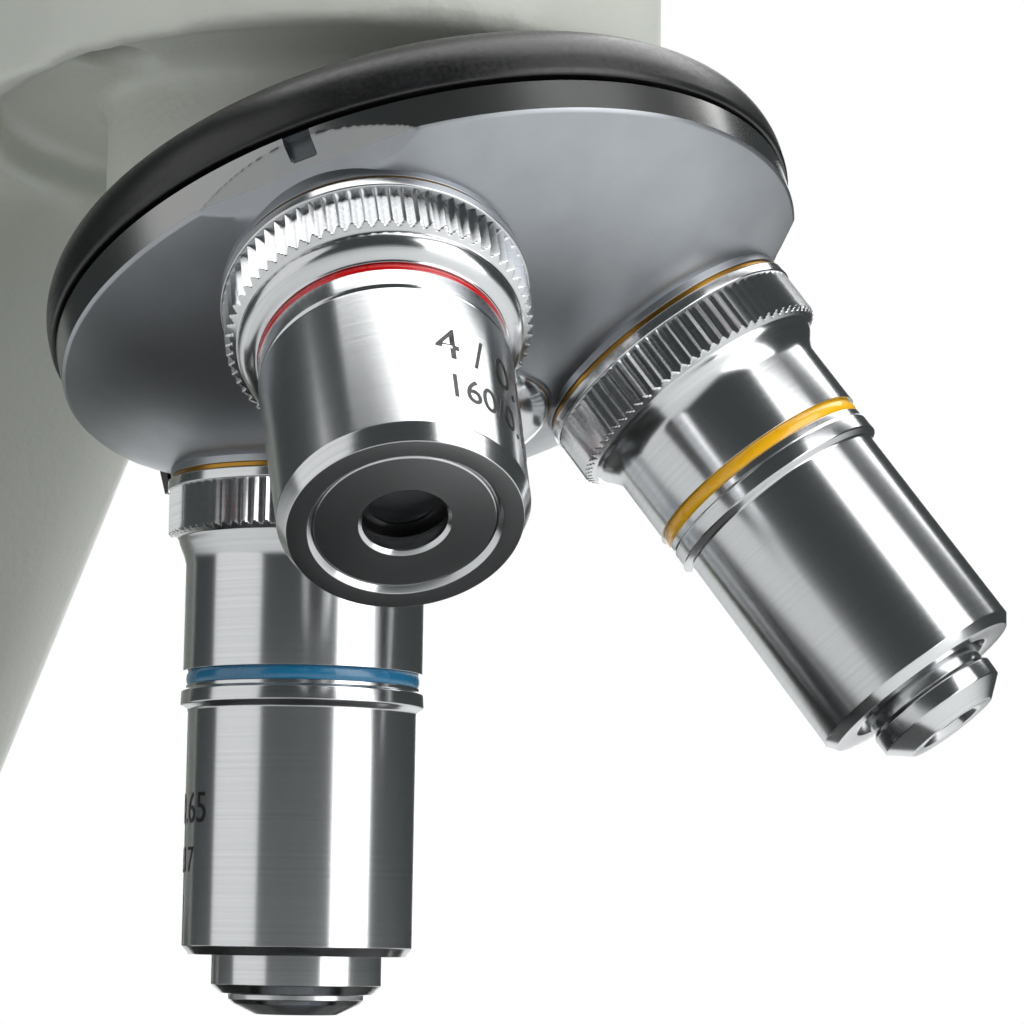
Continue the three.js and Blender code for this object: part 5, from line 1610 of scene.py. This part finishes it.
@dataclass
class Studio:
    """Camera, pale floor and soft light."""

    eye: tuple[float, float, float] = (-178.26, -240.75, 145.57)
    yaw: float = -44.24
    pitch: float = 7.53
    roll: float = 0.85
    lens: float = 115.07
    aim: tuple[float, float, float] = (0, -60, 175)

    def build(self) -> None:
        """Builds the camera, the floor and the lights."""
        self.camera()
        self.floor()
        self.sky()
        self.panels()
        bpy.context.scene.view_settings.view_transform = "Standard"

    def axes(self) -> tuple[Vector, Vector, Vector]:
        """The camera's right, up and forward directions from its yaw, pitch and roll."""
        a, e, r = (math.radians(x) for x in (self.yaw, self.pitch, self.roll))
        right = Vector((math.cos(a), math.sin(a), 0))
        ahead = Vector((-math.sin(a) * math.cos(e), math.cos(a) * math.cos(e), math.sin(e)))
        up = right.cross(ahead)
        return (
            right * math.cos(r) + up * math.sin(r),
            up * math.cos(r) - right * math.sin(r),
            ahead,
        )

    def camera(self) -> None:
        """The camera, at the matched place and angle."""
        data = bpy.data.cameras.new("camera")
        data.lens = self.lens
        data.sensor_width = 36.0
        data.clip_start, data.clip_end = 0.01, 50
        thing = bpy.data.objects.new("camera", data)
        right, up, ahead = self.axes()
        place = Matrix((right, up, -ahead)).transposed().to_4x4()
        place.translation = Vector(self.eye) * MM
        thing.matrix_world = place
        bpy.context.scene.collection.objects.link(thing)
        bpy.context.scene.camera = thing

    def floor(self) -> None:
        """A plain pale floor."""
        mesh = bpy.data.meshes.new("floor")
        size = 2.2
        corners = [(-size, -size, 0), (size, -size, 0), (size, size, 0), (-size, size, 0)]
        mesh.from_pydata(corners, [], [(0, 1, 2, 3)])
        made = bpy.data.materials.new("pale floor")
        made.use_nodes = True
        shader = made.node_tree.nodes["Principled BSDF"]
        shader.inputs["Base Color"].default_value = linear("#eceded")
        shader.inputs["Roughness"].default_value = 0.7
        mesh.materials.append(made)
        thing = bpy.data.objects.new("floor", mesh)
        bpy.context.scene.collection.objects.link(thing)

    def sky(self) -> None:
        """White surroundings to look at, and a dim grey room in what the metal reflects."""
        world = bpy.data.worlds.new("studio")
        bpy.context.scene.world = world
        world.use_nodes = True
        tree = world.node_tree
        tree.nodes.clear()
        room = add(tree, "ShaderNodeBackground", {"Color": (0.06, 0.068, 0.068, 1), "Strength": 1.0})
        white = add(tree, "ShaderNodeBackground", {"Color": (1, 1, 1, 1), "Strength": 1.0})
        path = add(tree, "ShaderNodeLightPath")
        both = add(tree, "ShaderNodeMixShader", {
            0: path.outputs["Is Camera Ray"], 1: room.outputs[0], 2: white.outputs[0]})
        add(tree, "ShaderNodeOutputWorld", {"Surface": both.outputs[0]})

    def panels(self) -> None:
        """Soft panels: (name, degrees to the right of the camera, elevation, distance in metres,
        width, height, radiance); the power is pi times radiance times area."""
        aim = Vector(self.aim) * MM
        back = math.radians(self.yaw) - math.pi / 2
        for name, swing, rise, away, wide, tall, radiance in (
                ("key", 56, 4, 0.85, 0.66, 1.5, 3.2),
                ("left fill", -66, 8, 0.95, 0.95, 1.3, 0.9),
                ("overhead", 160, 72, 0.9, 1.2, 1.2, 3.0),
                ("backdrop", 180, 4, 1.4, 0.75, 1.6, 1.6)):
            a, e = back + math.radians(swing), math.radians(rise)
            way = Vector((math.cos(a) * math.cos(e), math.sin(a) * math.cos(e), math.sin(e)))
            data = bpy.data.lights.new(name, "AREA")
            data.shape = "RECTANGLE"
            data.size, data.size_y = wide, tall
            data.energy = radiance * math.pi * wide * tall
            lamp = bpy.data.objects.new(name, data)
            spot = aim + way * away
            lamp.location = spot
            lamp.rotation_euler = (aim - spot).to_track_quat("-Z", "Y").to_euler()
            lamp.visible_camera = False
            bpy.context.scene.collection.objects.link(lamp)


def main() -> None:
    """Builds every sub-assembly in order."""
    logging.basicConfig(level=logging.INFO, format="%(name)s: %(message)s")
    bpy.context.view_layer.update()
    Base().build()
    Arm().build()
    Focusing().build()
    Stage().build()
    Nosepiece().build()
    LowPower("4x", 120, Paint.RED, "red_enamel", 7.0, 0.75, 9.35, marks_radius=9.755, taper=0.0288,
             marks=(("4 / 0.10", 4.2, 16.4, 131, "LEFT"), ("160/0.17", 3.2, 20.2, 134, "LEFT"))).build()
    MiddlePower("10x", -120, Paint.YELLOW, "yellow_enamel", 12.77, 1.09, 9.5, marks_radius=9.01,
                marks=(("10 / 0.25", 3.4, 22.5, 60, "LEFT"), ("160/0.17", 2.9, 26.3, 62, "LEFT"))).build()
    HighPower("40x", 0, Paint.BLUE, "blue_enamel", 16.3, 1.12, 9.78, marks_radius=9.56,
              marks=(("40 / 0.65", 3.6, 28.9, 177, "RIGHT"), ("160/0.17", 3.0, 32.9, 165, "RIGHT"))).build()
    Head().build()
    Studio().build()


if __name__ == "__main__":
    main()
